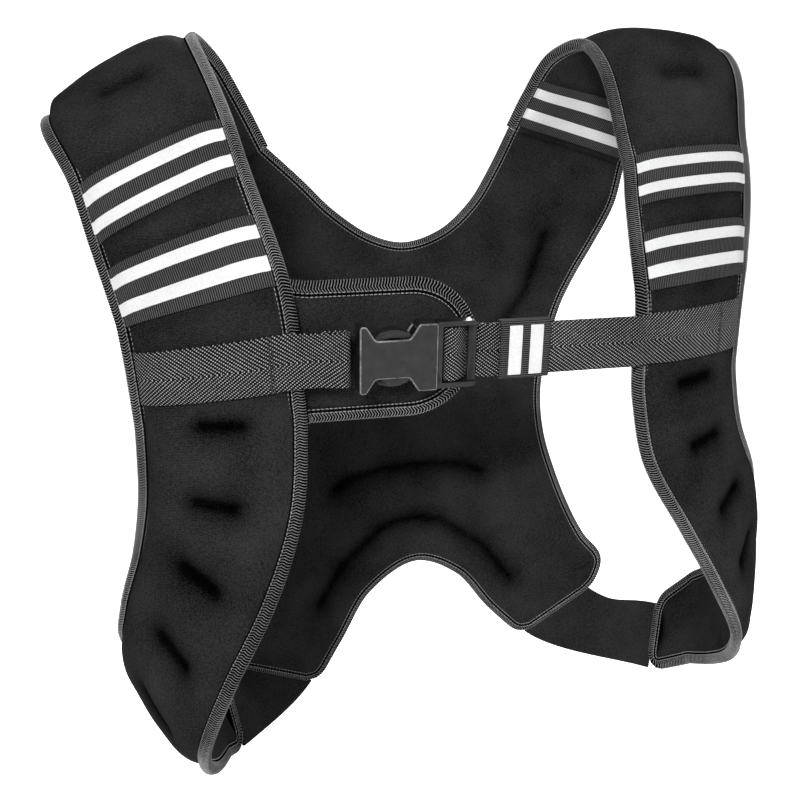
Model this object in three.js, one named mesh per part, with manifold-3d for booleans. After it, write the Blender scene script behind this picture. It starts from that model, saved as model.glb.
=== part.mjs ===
// A weighted training vest: a padded X shaped back, two padded straps that come over the
// shoulders and round the sides, reflective bands, and a webbing chest belt with a buckle.
// Millimetres, +Z up, the front of the vest faces -Y. The origin lies between the undersides
// of the two shoulder crests.
import * as THREE from 'three';
import { mergeVertices } from 'three/addons/utils/BufferGeometryUtils.js';
import Module from 'manifold-3d';

const wasm = await Module();
wasm.setup();

// Where the vest reaches
const SHOULDER_SPREAD = 160; // middle of a strap from the middle of the vest, at the crest
const CHEST_DEPTH = 108; // crest forward to the straps at the chest
const BACK_DEPTH = 50; // crest back to the back panel
const DROP = 420; // crest down to the middle of a strap's lower end
const CREST_RISE = 9; // underside of the pad at the crest up to its middle layer

// Padded shell
const STRAP_WIDTH = 80; // edge to edge on the chest, without its bindings
const STRAP_END_WIDTH = 44; // where the side band is sewn on
const PAD_THICKNESS = 16; // filled middle
const EDGE_THICKNESS = 5; // sewn flat along the edges
const STRAP_BOW = 5; // the middle of a strap's width stands proud of its edges
const BACK_BOW = 4; // the same on the back panel
const EDGE_ROLL = 19; // the pad reaches its full thickness this far from an edge
const SEAM_GAP = 0.4; // between the two sides of a sewn joint
const CLEARANCE = 0.4; // between a piece and what it lies on
const SHELL_STEP = 18; // longest step between two rows of the shell

// Overlocked edges
const BINDING_WIDTH = 6; // of the straps and the guard flap
const BACK_BINDING_WIDTH = 4;
const BINDING_THICKNESS = 7;

// Reflective bands
const BAND_WIDTH = 35;
const BAND_THICKNESS = 1.2;
const STRIPE_WIDTH = 7;
const STRIPE_THICKNESS = 0.5;
const STRIPE_MARGIN = 6; // band edge to the nearest stripe

// Chest belt
const WEBBING_WIDTH = 28;
const WEBBING_THICKNESS = 1.6;
const BUCKLE_AT = 0.29; // middle of the buckle, as a share of the free span from the left
const TAIL_LENGTH = 10; // end that is folded back behind the socket's bar

// Buckle
const BUCKLE_HEIGHT = 35;
const SOCKET_THICKNESS = 12;
const SOCKET_BODY = 40; // body with the side windows
const SOCKET_FRAME = 10; // webbing frame on the body's left
const SOCKET_WALL = 2;
const LADDER_LENGTH = 21;
const FRAME_THICKNESS = 7;
const RAIL_WIDTH = 2.6; // rails at the top and bottom of both frames
const BAR_WIDTH = 3; // bars that the webbing goes round or under
const WINDOW_DEPTH = 7.5; // concave cut at the top and bottom of the socket
const WINDOW_LENGTH = 24;
const PRONG_WIDTH = 4;
const LOOP_RADIUS = 3.3; // middle of the webbing where it turns round a bar

// Keeper: an elastic loop that holds the webbing's tail
const KEEPER_LENGTH = 27;
const KEEPER_THICKNESS = 1.2;
const KEEPER_FROM_BUCKLE = 13;
const KEEPER_STRIPE = 7;

// Guard flap behind the buckle
const FLAP_HEIGHT = 62;
const FLAP_REACH = 87; // from the start of the free belt to the flap's round end
const FLAP_THICKNESS = 4;
const FLAP_BEHIND = 13; // behind the middle layer of the belt
const FLAP_SEAT = 1.3; // between the flap and the padded strap that it is sewn under

// Side bands of thin neoprene
const SIDE_BAND_THICKNESS = 3;
const SIDE_BAND_COLUMNS = 10;
// Lower edge, middle and upper edge: share of the back's corner line, share of the strap's end
const SIDE_BAND_SHARES = [[0.02, -0.12], [0.49, 0.42], [0.96, 0.96]];

// Sections of the straps from the shoulder seam over the crest and round to the side end.
// run: share of the way. x, y, z: middle line, as shares of the spread, of the chest depth in
// front or the back depth behind, and of the drop. turn, tilt: of the width, in degrees.
// taper: from the strap's width to its end width, and below 0 wider than the strap's width.
const RIGHT_STRAP = [
  { run: 0, x: 0.765, y: 0.94, z: -0.143, turn: 1, tilt: -19, taper: 0 },
  { run: 0.04, x: 0.83, y: 0.84, z: -0.095, turn: 0, tilt: -18, taper: 0 },
  { run: 0.1, x: 0.925, y: 0.54, z: -0.03, turn: -3, tilt: -12, taper: -0.03 },
  { run: 0.16, x: 1.022, y: -0.02, z: -0.014, turn: -5, tilt: -5, taper: -0.05 },
  { run: 0.29, x: 0.967, y: -0.49, z: -0.16, turn: 9, tilt: 1, taper: 0.06 },
  { run: 0.35, x: 0.912, y: -0.685, z: -0.224, turn: 12, tilt: 2, taper: 0.06 },
  { run: 0.44, x: 0.82, y: -0.955, z: -0.32, turn: 21, tilt: 1, taper: 0.03 },
  { run: 0.475, x: 0.806, y: -0.985, z: -0.359, turn: 23, tilt: 0, taper: 0.04 },
  { run: 0.525, x: 0.806, y: -0.94, z: -0.43, turn: 22, tilt: 0, taper: 0.1 },
  { run: 0.56, x: 0.812, y: -0.915, z: -0.472, turn: 22, tilt: 2, taper: 0.12 },
  { run: 0.62, x: 0.858, y: -0.88, z: -0.557, turn: 25, tilt: 4, taper: 0.04 },
  { run: 0.69, x: 0.983, y: -0.824, z: -0.65, turn: 34, tilt: 10, taper: 0 },
  { run: 0.76, x: 1.09, y: -0.713, z: -0.738, turn: 47, tilt: 17, taper: 0 },
  { run: 0.835, x: 1.18, y: -0.53, z: -0.822, turn: 60, tilt: 30, taper: 0 },
  { run: 0.92, x: 1.225, y: -0.18, z: -0.912, turn: 58, tilt: 50, taper: 0.55 },
  { run: 1, x: 1.09, y: 0.38, z: -0.98, turn: 40, tilt: 68, taper: 1 },
];
const LEFT_STRAP = [
  { run: 0, x: 0.765, y: 0.94, z: -0.158, turn: 1, tilt: -22, taper: 0 },
  { run: 0.04, x: 0.825, y: 0.84, z: -0.108, turn: 0, tilt: -23, taper: 0 },
  { run: 0.1, x: 0.935, y: 0.54, z: -0.047, turn: -4, tilt: -26, taper: -0.16 },
  { run: 0.16, x: 1.03, y: 0, z: -0.026, turn: -8, tilt: -27, taper: -0.22 },
  { run: 0.29, x: 0.962, y: -0.52, z: -0.123, turn: 11, tilt: -17, taper: 0 },
  { run: 0.35, x: 0.925, y: -0.695, z: -0.193, turn: 16, tilt: -18, taper: 0 },
  { run: 0.44, x: 0.865, y: -0.955, z: -0.298, turn: 20, tilt: -14, taper: 0 },
  { run: 0.475, x: 0.85, y: -0.98, z: -0.35, turn: 21, tilt: -5, taper: 0 },
  { run: 0.525, x: 0.845, y: -0.945, z: -0.42, turn: 23, tilt: -4, taper: 0 },
  { run: 0.56, x: 0.843, y: -0.925, z: -0.466, turn: 23, tilt: -1, taper: 0 },
  { run: 0.62, x: 0.868, y: -0.907, z: -0.56, turn: 27, tilt: 2, taper: 0 },
  { run: 0.69, x: 0.945, y: -0.85, z: -0.655, turn: 40, tilt: 13, taper: 0 },
  { run: 0.76, x: 1.056, y: -0.77, z: -0.75, turn: 52, tilt: 22, taper: 0 },
  { run: 0.835, x: 1.115, y: -0.575, z: -0.843, turn: 59, tilt: 34, taper: 0 },
  { run: 0.92, x: 1.025, y: -0.22, z: -0.922, turn: 60, tilt: 54, taper: 0.35 },
  { run: 1, x: 0.885, y: 0.22, z: -0.974, turn: 60, tilt: 72, taper: 1 },
];

// Sections of one half of the back panel, below its shoulder seam. x and z as above, and y as
// a share of the back depth, at the inner end (neck, middle line, arch) and the outer end.
// lean: sideways, a share of the spread. sway: how much lower the left half hangs.
const BACK_HALF = [
  { run: 0.06, innerX: 0.42, innerY: 1, innerZ: -0.173, outerX: 0.93, outerY: 0.98,
    outerZ: -0.238, lean: 0.026, sway: 0.01 },
  { run: 0.13, innerX: 0.31, innerY: 1.04, innerZ: -0.225, outerX: 0.825, outerY: 0.98,
    outerZ: -0.29, lean: 0.041, sway: 0 },
  { run: 0.2, innerX: 0.166, innerY: 1.08, innerZ: -0.268, outerX: 0.72, outerY: 1,
    outerZ: -0.345, lean: 0.05, sway: 0 },
  { run: 0.27, innerX: 0, innerY: 1.1, innerZ: -0.286, outerX: 0.65, outerY: 1,
    outerZ: -0.395, lean: 0.045, sway: 0 },
  { run: 0.38, innerX: 0, innerY: 1.12, innerZ: -0.37, outerX: 0.603, outerY: 1.02,
    outerZ: -0.47, lean: 0.03, sway: 0.01 },
  { run: 0.48, innerX: 0, innerY: 1.12, innerZ: -0.47, outerX: 0.572, outerY: 1.04,
    outerZ: -0.545, lean: 0.025, sway: 0.02 },
  { run: 0.58, innerX: 0, innerY: 1.12, innerZ: -0.575, outerX: 0.587, outerY: 1.04,
    outerZ: -0.625, lean: 0.02, sway: 0.04 },
  { run: 0.68, innerX: 0, innerY: 1.1, innerZ: -0.683, outerX: 0.643, outerY: 1.02,
    outerZ: -0.705, lean: 0.015, sway: 0.05 },
  { run: 0.78, innerX: 0, innerY: 1.06, innerZ: -0.803, outerX: 0.713, outerY: 1,
    outerZ: -0.775, lean: 0.01, sway: 0.05 },
  { run: 0.86, innerX: 0.218, innerY: 1.04, innerZ: -0.843, outerX: 0.793, outerY: 0.98,
    outerZ: -0.826, lean: -0.007, sway: 0.05 },
  { run: 0.93, innerX: 0.356, innerY: 1.02, innerZ: -0.915, outerX: 0.87, outerY: 0.95,
    outerZ: -0.872, lean: -0.01, sway: 0.06 },
  { run: 1, innerX: 0.486, innerY: 1, innerZ: -0.978, outerX: 0.822, outerY: 0.95,
    outerZ: -0.916, lean: 0, sway: 0.065 },
];
const reachesMiddle = ({ innerX }) => innerX === 0;
const NECK_END = BACK_HALF.find(reachesMiddle).run; // the neckline meets the middle
const ARCH_START = BACK_HALF.findLast(reachesMiddle).run; // the arch leaves it

// Quilting tacks that pull the straps in: where along and across, length and depth of the dent
const TACKS = [
  { run: 0.185, across: 0.47, length: 26, slope: 0, depth: 0.42 },
  { run: 0.425, across: 0.55, length: 46, slope: 0, depth: 0.3 },
  { run: 0.56, across: 0.5, length: 26, slope: 0, depth: 0.62 },
  { run: 0.628, across: 0.5, length: 24, slope: 0.1, depth: 0.62 },
  { run: 0.69, across: 0.47, length: 24, slope: 0.25, depth: 0.62 },
  { run: 0.755, across: 0.45, length: 24, slope: 0.3, depth: 0.62 },
  { run: 0.83, across: 0.42, length: 26, slope: 0.4, depth: 0.55 },
];
const TACK_SPREAD = 13; // how far a tack pulls the pad in along the strap

// Sewn channels of the back panel, on one half: shares of the spread and of the drop
const CHANNELS = [
  { depth: 0.5, line: [[0.3, -0.46], [0.44, -0.43], [0.56, -0.37], [0.66, -0.28]] },
  { depth: 0.5, line: [[0, -0.645], [0.12, -0.645], [0.26, -0.655], [0.33, -0.67]] },
  { depth: 0.6, line: [[0, -0.735], [0.13, -0.745], [0.32, -0.8], [0.44, -0.865]] },
];
const CHANNEL_SPREAD = 9;

// Upper edge of each band and of the webbing along a strap. The band inside the shoulder is
// on the right strap only.
const BANDS = [
  { name: 'upper_band', run: 0.297, inside: false },
  { name: 'lower_band', run: 0.389, inside: false },
  { name: 'shoulder_band', run: 0.006, inside: true },
];
const WEBBING_RUN = 0.475;

// Where what crosses a strap presses the padding flatter: upper edge, width, share pressed in
const PRESSED = [
  ...BANDS.filter(({ inside }) => !inside)
    .map(({ run }) => ({ run, width: BAND_WIDTH, depth: 0.55 })),
  { run: WEBBING_RUN, width: WEBBING_WIDTH, depth: 0.3 },
];
const PRESS_SPREAD = 9; // how far beyond its edges the padding is still pressed

// Columns of the strap that the webbing and the flap lie on, counted from the inner edge
const BELT_COLUMNS = 8;
const FLAP_COLUMNS = 3;

// Lines across the width at which the shell has a column, closer where it drops to its edges
const ACROSS = [0, 0.06, 0.17, 0.33, 0.5, 0.67, 0.83, 0.94, 1];
const BACK_ACROSS = [0, 0.05, 0.14, 0.27, 0.4, 0.53, 0.66, 0.8, 0.92, 1];

// Finishes
const finish = (color, roughness) =>
  new THREE.MeshStandardMaterial({ color, roughness, metalness: 0 });
const NEOPRENE = finish(0x1b1b1c, 0.85);
const THREAD = finish(0x39393b, 0.8);
const ELASTIC = finish(0x2a2a2b, 0.8);
const WEBBING = finish(0x333335, 0.75);
const REFLECTIVE = finish(0xf2f2f2, 0.45);
const PLASTIC = finish(0x222224, 0.35);

// Smooth value of one column of a table at a place along it
function through(rows, column, run) {
  const last = rows.length - 1;
  let k = 0;
  while (k < last - 1 && rows[k + 1].run < run) k += 1;
  const slope = (i) => {
    const a = rows[Math.max(i - 1, 0)];
    const b = rows[Math.min(i + 1, last)];
    return (b[column] - a[column]) / (b.run - a.run);
  };
  const [from, to] = [rows[k], rows[k + 1]];
  const span = to.run - from.run;
  const t = THREE.MathUtils.clamp((run - from.run) / span, 0, 1);
  const [t2, t3] = [t * t, t * t * t];
  return from[column] * (2 * t3 - 3 * t2 + 1) + to[column] * (3 * t2 - 2 * t3)
    + slope(k) * span * (t3 - 2 * t2 + t) + slope(k + 1) * span * (t3 - t2);
}

const shifted = (point, direction, distance) =>
  point.clone().addScaledVector(direction, distance);
const between = (a, b, t) => a.clone().lerp(b, t);
const bump = (distance, spread) => Math.exp(-((distance / spread) ** 2));
const roll = (distance) =>
  Math.sqrt(1 - (1 - THREE.MathUtils.clamp(distance / EDGE_ROLL, 0, 1)) ** 2);

// A closed mesh from quads, with equal corners joined
class Skin {
  points = [];
  faces = [];
  known = new Map();

  corner(point) {
    const key = [point.x, point.y, point.z].map((value) => value.toFixed(4)).join();
    if (!this.known.has(key)) {
      this.known.set(key, this.points.length);
      this.points.push(point.clone());
    }
    return this.known.get(key);
  }

  triangle(a, b, c) {
    if (a !== b && b !== c && c !== a) this.faces.push([a, b, c]);
  }

  quad(a, b, c, d) {
    const [i, j, k, l] = [a, b, c, d].map((point) => this.corner(point));
    this.triangle(i, j, k);
    this.triangle(i, k, l);
  }

  // A slab between an upper and a lower grid, walled on each side unless its line is open
  slab(upper, lower, open = () => false) {
    const rows = upper.length - 1;
    const columns = upper[0].length - 1;
    for (let i = 0; i < rows; i += 1) {
      for (let j = 0; j < columns; j += 1) {
        this.quad(upper[i][j], upper[i + 1][j], upper[i + 1][j + 1], upper[i][j + 1]);
        this.quad(lower[i][j + 1], lower[i + 1][j + 1], lower[i + 1][j], lower[i][j]);
      }
      if (!open(i)) this.quad(lower[i][0], lower[i + 1][0], upper[i + 1][0], upper[i][0]);
      this.quad(upper[i][columns], upper[i + 1][columns], lower[i + 1][columns],
        lower[i][columns]);
    }
    for (let j = 0; j < columns; j += 1) {
      this.quad(upper[0][j], upper[0][j + 1], lower[0][j + 1], lower[0][j]);
      this.quad(lower[rows][j], lower[rows][j + 1], upper[rows][j + 1], upper[rows][j]);
    }
  }

  geometry() {
    let volume = 0;
    for (const [a, b, c] of this.faces) {
      volume += this.points[a].dot(new THREE.Vector3().crossVectors(this.points[b],
        this.points[c]));
    }
    const turned = volume < 0 ? this.faces.map(([a, b, c]) => [a, c, b]) : this.faces;
    const geometry = new THREE.BufferGeometry().setFromPoints(this.points);
    geometry.setIndex(turned.flat());
    geometry.computeVertexNormals();
    return geometry;
  }
}

const vest = new THREE.Group();

function addPiece(name, geometry, material, parent = vest) {
  const piece = new THREE.Mesh(geometry, material);
  piece.name = name;
  parent.add(piece);
}

// A strap, as places on its middle layer and on its two faces
class Strap {
  constructor(side, sign, rows) {
    this.side = side;
    this.sign = sign;
    this.rows = rows;
    const samples = 240;
    this.lengths = [0];
    let previous = this.middle(0);
    for (let i = 1; i <= samples; i += 1) {
      const point = this.middle(i / samples);
      this.lengths.push(this.lengths[i - 1] + point.distanceTo(previous));
      previous = point;
    }
    this.length = this.lengths[samples];
  }

  middle(run) {
    const y = through(this.rows, 'y', run);
    return new THREE.Vector3(
      this.sign * SHOULDER_SPREAD * through(this.rows, 'x', run),
      y < 0 ? CHEST_DEPTH * y : BACK_DEPTH * y,
      CREST_RISE + DROP * through(this.rows, 'z', run));
  }

  // The run that lies a distance further along the strap than another run
  further(run, distance) {
    const samples = this.lengths.length - 1;
    const at = run * samples;
    const low = Math.min(Math.floor(at), samples - 1);
    const here = THREE.MathUtils.lerp(this.lengths[low], this.lengths[low + 1], at - low);
    const target = here + distance;
    let i = 0;
    while (i < samples - 1 && this.lengths[i + 1] < target) i += 1;
    return (i + (target - this.lengths[i]) / (this.lengths[i + 1] - this.lengths[i]))
      / samples;
  }

  section(run) {
    const turn = THREE.MathUtils.degToRad(through(this.rows, 'turn', run));
    const tilt = THREE.MathUtils.degToRad(through(this.rows, 'tilt', run));
    const across = new THREE.Vector3(this.sign * Math.cos(tilt) * Math.cos(turn),
      Math.cos(tilt) * Math.sin(turn), Math.sin(tilt));
    const reach = 0.01;
    const along = this.middle(Math.min(run + reach, 1))
      .sub(this.middle(Math.max(run - reach, 0))).normalize();
    const normal = new THREE.Vector3().crossVectors(along, across)
      .multiplyScalar(this.sign).normalize();
    const width = THREE.MathUtils.lerp(STRAP_WIDTH, STRAP_END_WIDTH,
      Math.min(through(this.rows, 'taper', run), 1));
    const forward = new THREE.Vector3().crossVectors(across, normal)
      .multiplyScalar(this.sign);
    return { run, middle: this.middle(run), across, along, forward, normal, width };
  }

  // Share of the padding that is left where bands and webbing cross the strap
  unpressed(section) {
    return PRESSED.reduce((left, { run, width, depth }) => {
      const away = Math.abs((section.run - run) * this.length - width / 2);
      return left * (1 - depth * bump(Math.max(0, away - width / 2), PRESS_SPREAD));
    }, 1);
  }

  // Half the pad's thickness: full in the middle, thin at the edges, pulled in at the tacks
  half(section, v) {
    const toEdge = Math.min(v * section.width, (1 - v) * section.width,
      (1 - section.run) * this.length);
    const full = (PAD_THICKNESS - EDGE_THICKNESS) / 2;
    let kept = this.unpressed(section);
    for (const tack of TACKS) {
      const aside = (v - tack.across) * section.width;
      const away = (section.run - tack.run) * this.length - tack.slope * aside;
      const past = Math.max(0, Math.abs(aside) - tack.length / 2);
      kept *= 1 - tack.depth * bump(away, TACK_SPREAD) * bump(past, TACK_SPREAD);
    }
    return EDGE_THICKNESS / 2 + full * roll(toEdge) * kept;
  }

  // A point over the outer face, at a height above it, or, inside, over the inner face
  on(section, v, height, inside = false) {
    const bow = STRAP_BOW * this.unpressed(section) * 4 * v * (1 - v);
    const level = inside ? -this.half(section, v) - height : this.half(section, v) + height;
    return shifted(shifted(section.middle, section.across, (v - 0.5) * section.width),
      section.normal, bow + level);
  }

  edge(section, v) {
    return shifted(section.middle, section.across, (v - 0.5) * section.width);
  }
}

const STRAPS = [new Strap('left', -1, LEFT_STRAP), new Strap('right', 1, RIGHT_STRAP)];
const [LEFT, RIGHT] = STRAPS;

// Runs of a strip's rows: every mark, and even steps between them
function evenRows(marks, length) {
  const runs = [marks[0]];
  for (let k = 1; k < marks.length; k += 1) {
    const gap = marks[k] - marks[k - 1];
    const steps = Math.max(1, Math.round(gap * length / SHELL_STEP));
    for (let i = 1; i <= steps; i += 1) runs.push(marks[k - 1] + gap * i / steps);
  }
  return runs;
}

// Runs of the upper edge, the middle and the lower edge of what crosses a strap
function marksOf(strap, run, width) {
  return [0, 0.5, 1].map((share) => strap.further(run, share * width));
}

function strapRuns(strap) {
  const marks = [0, 1, ...marksOf(strap, WEBBING_RUN, WEBBING_WIDTH)];
  for (const band of BANDS) marks.push(...marksOf(strap, band.run, BAND_WIDTH));
  marks.sort((a, b) => a - b);
  return evenRows(marks, strap.length);
}

// Padded front strap, from the shoulder seam to its end at the side
function addStrap(strap) {
  const sections = strapRuns(strap).map((run) => strap.section(run));
  sections[0].middle = shifted(sections[0].middle, sections[0].forward, SEAM_GAP / 2);
  const skin = new Skin();
  skin.slab(sections.map((section) => ACROSS.map((v) => strap.on(section, v, 0))),
    sections.map((section) => ACROSS.map((v) => strap.on(section, v, 0, true))));
  addPiece(`front_strap_${strap.side}`, skin.geometry(), NEOPRENE);
  return sections;
}

// Overlocked edge along a line of the shell. Each place has a point and the shell's normal
// there, and at a shoulder seam the way out of the shell.
function addBinding(name, places, inwards = 1, width = BINDING_WIDTH) {
  const outs = [];
  for (let k = 0; k < places.length - 1; k += 1) {
    const along = places[k + 1].point.clone().sub(places[k].point).normalize();
    const normal = places[k].normal.clone().add(places[k + 1].normal).normalize();
    outs.push(new THREE.Vector3().crossVectors(along, normal).multiplyScalar(inwards)
      .normalize());
  }
  const [w, t] = [width, BINDING_THICKNESS / 2];
  const profile = [[0, -t], [0, t], [0.65 * w, t], [w, 0.4 * t], [w, -0.4 * t],
    [0.65 * w, -t]];
  const rings = places.map(({ point, normal, atSeam }, k) => {
    const before = outs[Math.max(k - 1, 0)];
    const after = outs[Math.min(k, outs.length - 1)];
    const out = atSeam ?? before.clone().add(after).normalize();
    const reach = atSeam ? 1 : 1 / Math.max(0.5, out.dot(after));
    return profile.map(([outwards, up]) =>
      shifted(shifted(point, out, (outwards + CLEARANCE) * reach), normal, up));
  });
  const skin = new Skin();
  const sides = profile.length;
  for (let k = 0; k < rings.length - 1; k += 1) {
    for (let i = 0; i < sides; i += 1) {
      const next = (i + 1) % sides;
      skin.quad(rings[k][i], rings[k + 1][i], rings[k + 1][next], rings[k][next]);
    }
  }
  for (const [ring, turned] of [[rings[0], false], [rings.at(-1), true]]) {
    for (let i = 1; i < sides - 1; i += 1) {
      const [a, b, c] = [ring[0], ring[i], ring[i + 1]].map((point) => skin.corner(point));
      if (turned) skin.triangle(a, c, b);
      else skin.triangle(a, b, c);
    }
  }
  addPiece(name, skin.geometry(), THREAD);
}

const seamOut = (section, v) => section.across.clone().multiplyScalar(v > 0.5 ? 1 : -1);

// Binding of a strap: down its inner edge, round its end and back up its outer edge
function addStrapBinding(strap, sections) {
  const place = (section, v) => ({
    point: strap.edge(section, v),
    normal: section.normal,
    atSeam: section.run > 0 ? undefined : seamOut(section, v),
  });
  const last = sections.at(-1);
  const places = [
    ...sections.map((section) => place(section, 0)),
    place(last, 0.5),
    ...sections.map((section) => place(section, 1)).reverse(),
  ];
  addBinding(`strap_binding_${strap.side}`, places, strap.sign);
}

// Grid over a strap's face at a height, a row for each section
function overStrap(strap, sections, height, inside) {
  return sections.map((section) => ACROSS.map((v) => strap.on(section, v, height, inside)));
}

function addLayer(name, upper, lower, material) {
  const skin = new Skin();
  skin.slab(upper, lower);
  addPiece(name, skin.geometry(), material);
}

function sectionsBetween(sections, from, to) {
  return sections.filter(({ run }) => run > from - 1e-6 && run < to + 1e-6);
}

const rowBetween = (from, to, share) => from.map((point, j) => between(point, to[j], share));

// Elastic band with its two reflective stripes, one on each half of its width
function addBand(strap, sections, { name, run, inside }) {
  const marks = marksOf(strap, run, BAND_WIDTH);
  const crossed = sectionsBetween(sections, marks[0], marks[2]);
  const top = CLEARANCE + BAND_THICKNESS;
  addLayer(`${name}_${strap.side}`, overStrap(strap, crossed, top, inside),
    overStrap(strap, crossed, CLEARANCE, inside), ELASTIC);
  const [low, high] = [top + CLEARANCE, top + CLEARANCE + STRIPE_THICKNESS]
    .map((height) => overStrap(strap, crossed, height, inside));
  const near = STRIPE_MARGIN / (BAND_WIDTH / 2);
  const far = (STRIPE_MARGIN + STRIPE_WIDTH) / (BAND_WIDTH / 2);
  [[0, near, far], [1, 1 - far, 1 - near]].forEach(([half, from, to], k) => {
    const cut = (grid) =>
      [from, to].map((share) => rowBetween(grid[half], grid[half + 1], share));
    addLayer(`${name}_${strap.side}_stripe_${k + 1}`, cut(high), cut(low), REFLECTIVE);
  });
}

const strapSections = new Map();
for (const strap of STRAPS) {
  const sections = addStrap(strap);
  strapSections.set(strap, sections);
  addStrapBinding(strap, sections);
  for (const band of BANDS) {
    if (!band.inside || strap === RIGHT) addBand(strap, sections, band);
  }
}

// One half of the back panel hangs from the shoulder seam of its strap
class BackHalf {
  constructor(strap) {
    this.strap = strap;
    this.sign = strap.sign;
    this.seam = strap.section(0);
    const corner = (v) => shifted(strap.edge(this.seam, v), this.seam.forward, -SEAM_GAP / 2);
    const [inner, outer] = [corner(0), corner(1)];
    const first = { run: 0, innerX: this.sign * inner.x, innerY: inner.y, innerZ: inner.z,
      outerX: this.sign * outer.x, outerY: outer.y, outerZ: outer.z };
    this.rows = [first, ...BACK_HALF.map((row) => this.sized(row))];
    this.middleRows = this.rows.filter(({ run }) => this.onMiddle(run));
    this.neckRows = [...this.rows.filter(({ run }) => run <= NECK_END),
      this.across(NECK_END, -1)];
    this.archRows = [this.across(ARCH_START, 1),
      ...this.rows.filter(({ run }) => run >= ARCH_START)];
  }

  // The row beside a turn of the neckline or the arch, carried on into the other half
  across(turn, step) {
    const at = this.rows.findIndex(({ run }) => run === turn);
    const row = this.rows[at + step];
    return { ...row, run: 2 * turn - row.run, innerX: 2 * this.rows[at].innerX - row.innerX };
  }

  // A row of the table in millimetres, with this half's lean and sway
  sized(row) {
    const sized = { run: row.run };
    for (const end of ['inner', 'outer']) {
      const x = SHOULDER_SPREAD * row[`${end}X`];
      sized[`${end}X`] = x + this.sign * SHOULDER_SPREAD * row.lean;
      sized[`${end}Y`] = BACK_DEPTH * row[`${end}Y`];
      sized[`${end}Z`] = CREST_RISE + DROP * row[`${end}Z`] + this.sign * row.sway * x;
    }
    return sized;
  }

  onMiddle(run) {
    return run > NECK_END - 1e-6 && run < ARCH_START + 1e-6;
  }

  end(name, run) {
    let rows = this.rows;
    if (name === 'inner') rows = run < NECK_END ? this.neckRows : this.archRows;
    if (name === 'inner' && this.onMiddle(run)) rows = this.middleRows;
    return new THREE.Vector3(this.sign * through(rows, `${name}X`, run),
      through(rows, `${name}Y`, run), through(rows, `${name}Z`, run));
  }

  section(run) {
    const [inner, outer] = [this.end('inner', run), this.end('outer', run)];
    const flat = THREE.MathUtils.smoothstep(run, 0, NECK_END);
    const normal = between(this.seam.normal, BACKWARDS, flat).normalize();
    const out = run > 0 ? {} : { inner: seamOut(this.seam, 0), outer: seamOut(this.seam, 1) };
    return { run, inner, outer, normal, out };
  }

  // Front and back points across a section
  faces(section, borders) {
    return BACK_ACROSS.map((v) => {
      const point = between(section.inner, section.outer, v);
      const padding = roll(Math.min(...borders.map((border) => distanceTo(border, point))));
      let kept = 1;
      for (const { depth, line } of CHANNELS) {
        const away = Math.min(...[-1, 1].map((side) => distanceTo(line.map(([x, z]) =>
          new THREE.Vector3(side * SHOULDER_SPREAD * x, point.y, CREST_RISE + DROP * z)),
        point)));
        kept *= 1 - depth * bump(away, CHANNEL_SPREAD);
      }
      const half = EDGE_THICKNESS / 2 + (PAD_THICKNESS - EDGE_THICKNESS) / 2 * padding * kept;
      const atSeam = STRAP_BOW * 4 * v * (1 - v);
      const share = THREE.MathUtils.smoothstep(section.run, 0, NECK_END);
      const bow = THREE.MathUtils.lerp(atSeam, BACK_BOW * padding, share);
      return [bow + half, bow - half].map((level) => shifted(point, section.normal, level));
    });
  }
}

const BACKWARDS = new THREE.Vector3(0, 1, 0);

// Distance from a point to a line of points
function distanceTo(line, point) {
  const nearest = new THREE.Vector3();
  let least = Infinity;
  for (let k = 0; k < line.length - 1; k += 1) {
    new THREE.Line3(line[k], line[k + 1]).closestPointToPoint(point, true, nearest);
    least = Math.min(least, nearest.distanceTo(point));
  }
  return least;
}

function backRuns() {
  const marks = [0, NECK_END, ARCH_START, 1];
  return evenRows(marks, DROP);
}

const halves = STRAPS.map((strap) => {
  const half = new BackHalf(strap);
  half.sections = backRuns().map((run) => half.section(run));
  half.neck = half.sections.filter(({ run }) => run < NECK_END + 1e-6);
  half.arch = half.sections.filter(({ run }) => run > ARCH_START - 1e-6);
  return half;
});

// Padded back, both halves in one piece
function addBackPanel() {
  const borders = halves.flatMap((half) => {
    const last = half.sections.at(-1);
    return [half.sections.map(({ outer }) => outer), half.neck.map(({ inner }) => inner),
      half.arch.map(({ inner }) => inner), [last.inner, last.outer]];
  });
  const skin = new Skin();
  for (const half of halves) {
    const faces = half.sections.map((section) => half.faces(section, borders));
    const open = (i) => half.onMiddle(half.sections[i].run)
      && half.onMiddle(half.sections[i + 1].run);
    const [behind, before] = [0, 1].map((k) => faces.map((row) => row.map((pair) => pair[k])));
    if (half.sign > 0) skin.slab(behind, before, open);
    else skin.slab(before, behind, open);
  }
  addPiece('back_panel', skin.geometry(), NEOPRENE);
}

// Binding of the neckline, and one round the armholes, the lower corners and the arch
function addBackBindings() {
  const [left, right] = halves;
  const place = (section, end) =>
    ({ point: section[end], normal: section.normal, atSeam: section.out[end] });
  const neck = [
    ...left.neck.map((section) => place(section, 'inner')),
    ...right.neck.slice(0, -1).map((section) => place(section, 'inner')).reverse(),
  ];
  addBinding('neck_binding', neck, 1, BACK_BINDING_WIDTH);
  const down = (half) => [
    ...half.sections.map((section) => place(section, 'outer')),
    ...half.arch.map((section) => place(section, 'inner')).reverse(),
  ];
  addBinding('back_edge_binding', [...down(left), ...down(right).reverse().slice(1)], -1,
      BACK_BINDING_WIDTH);
}

addBackPanel();
addBackBindings();

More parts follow.
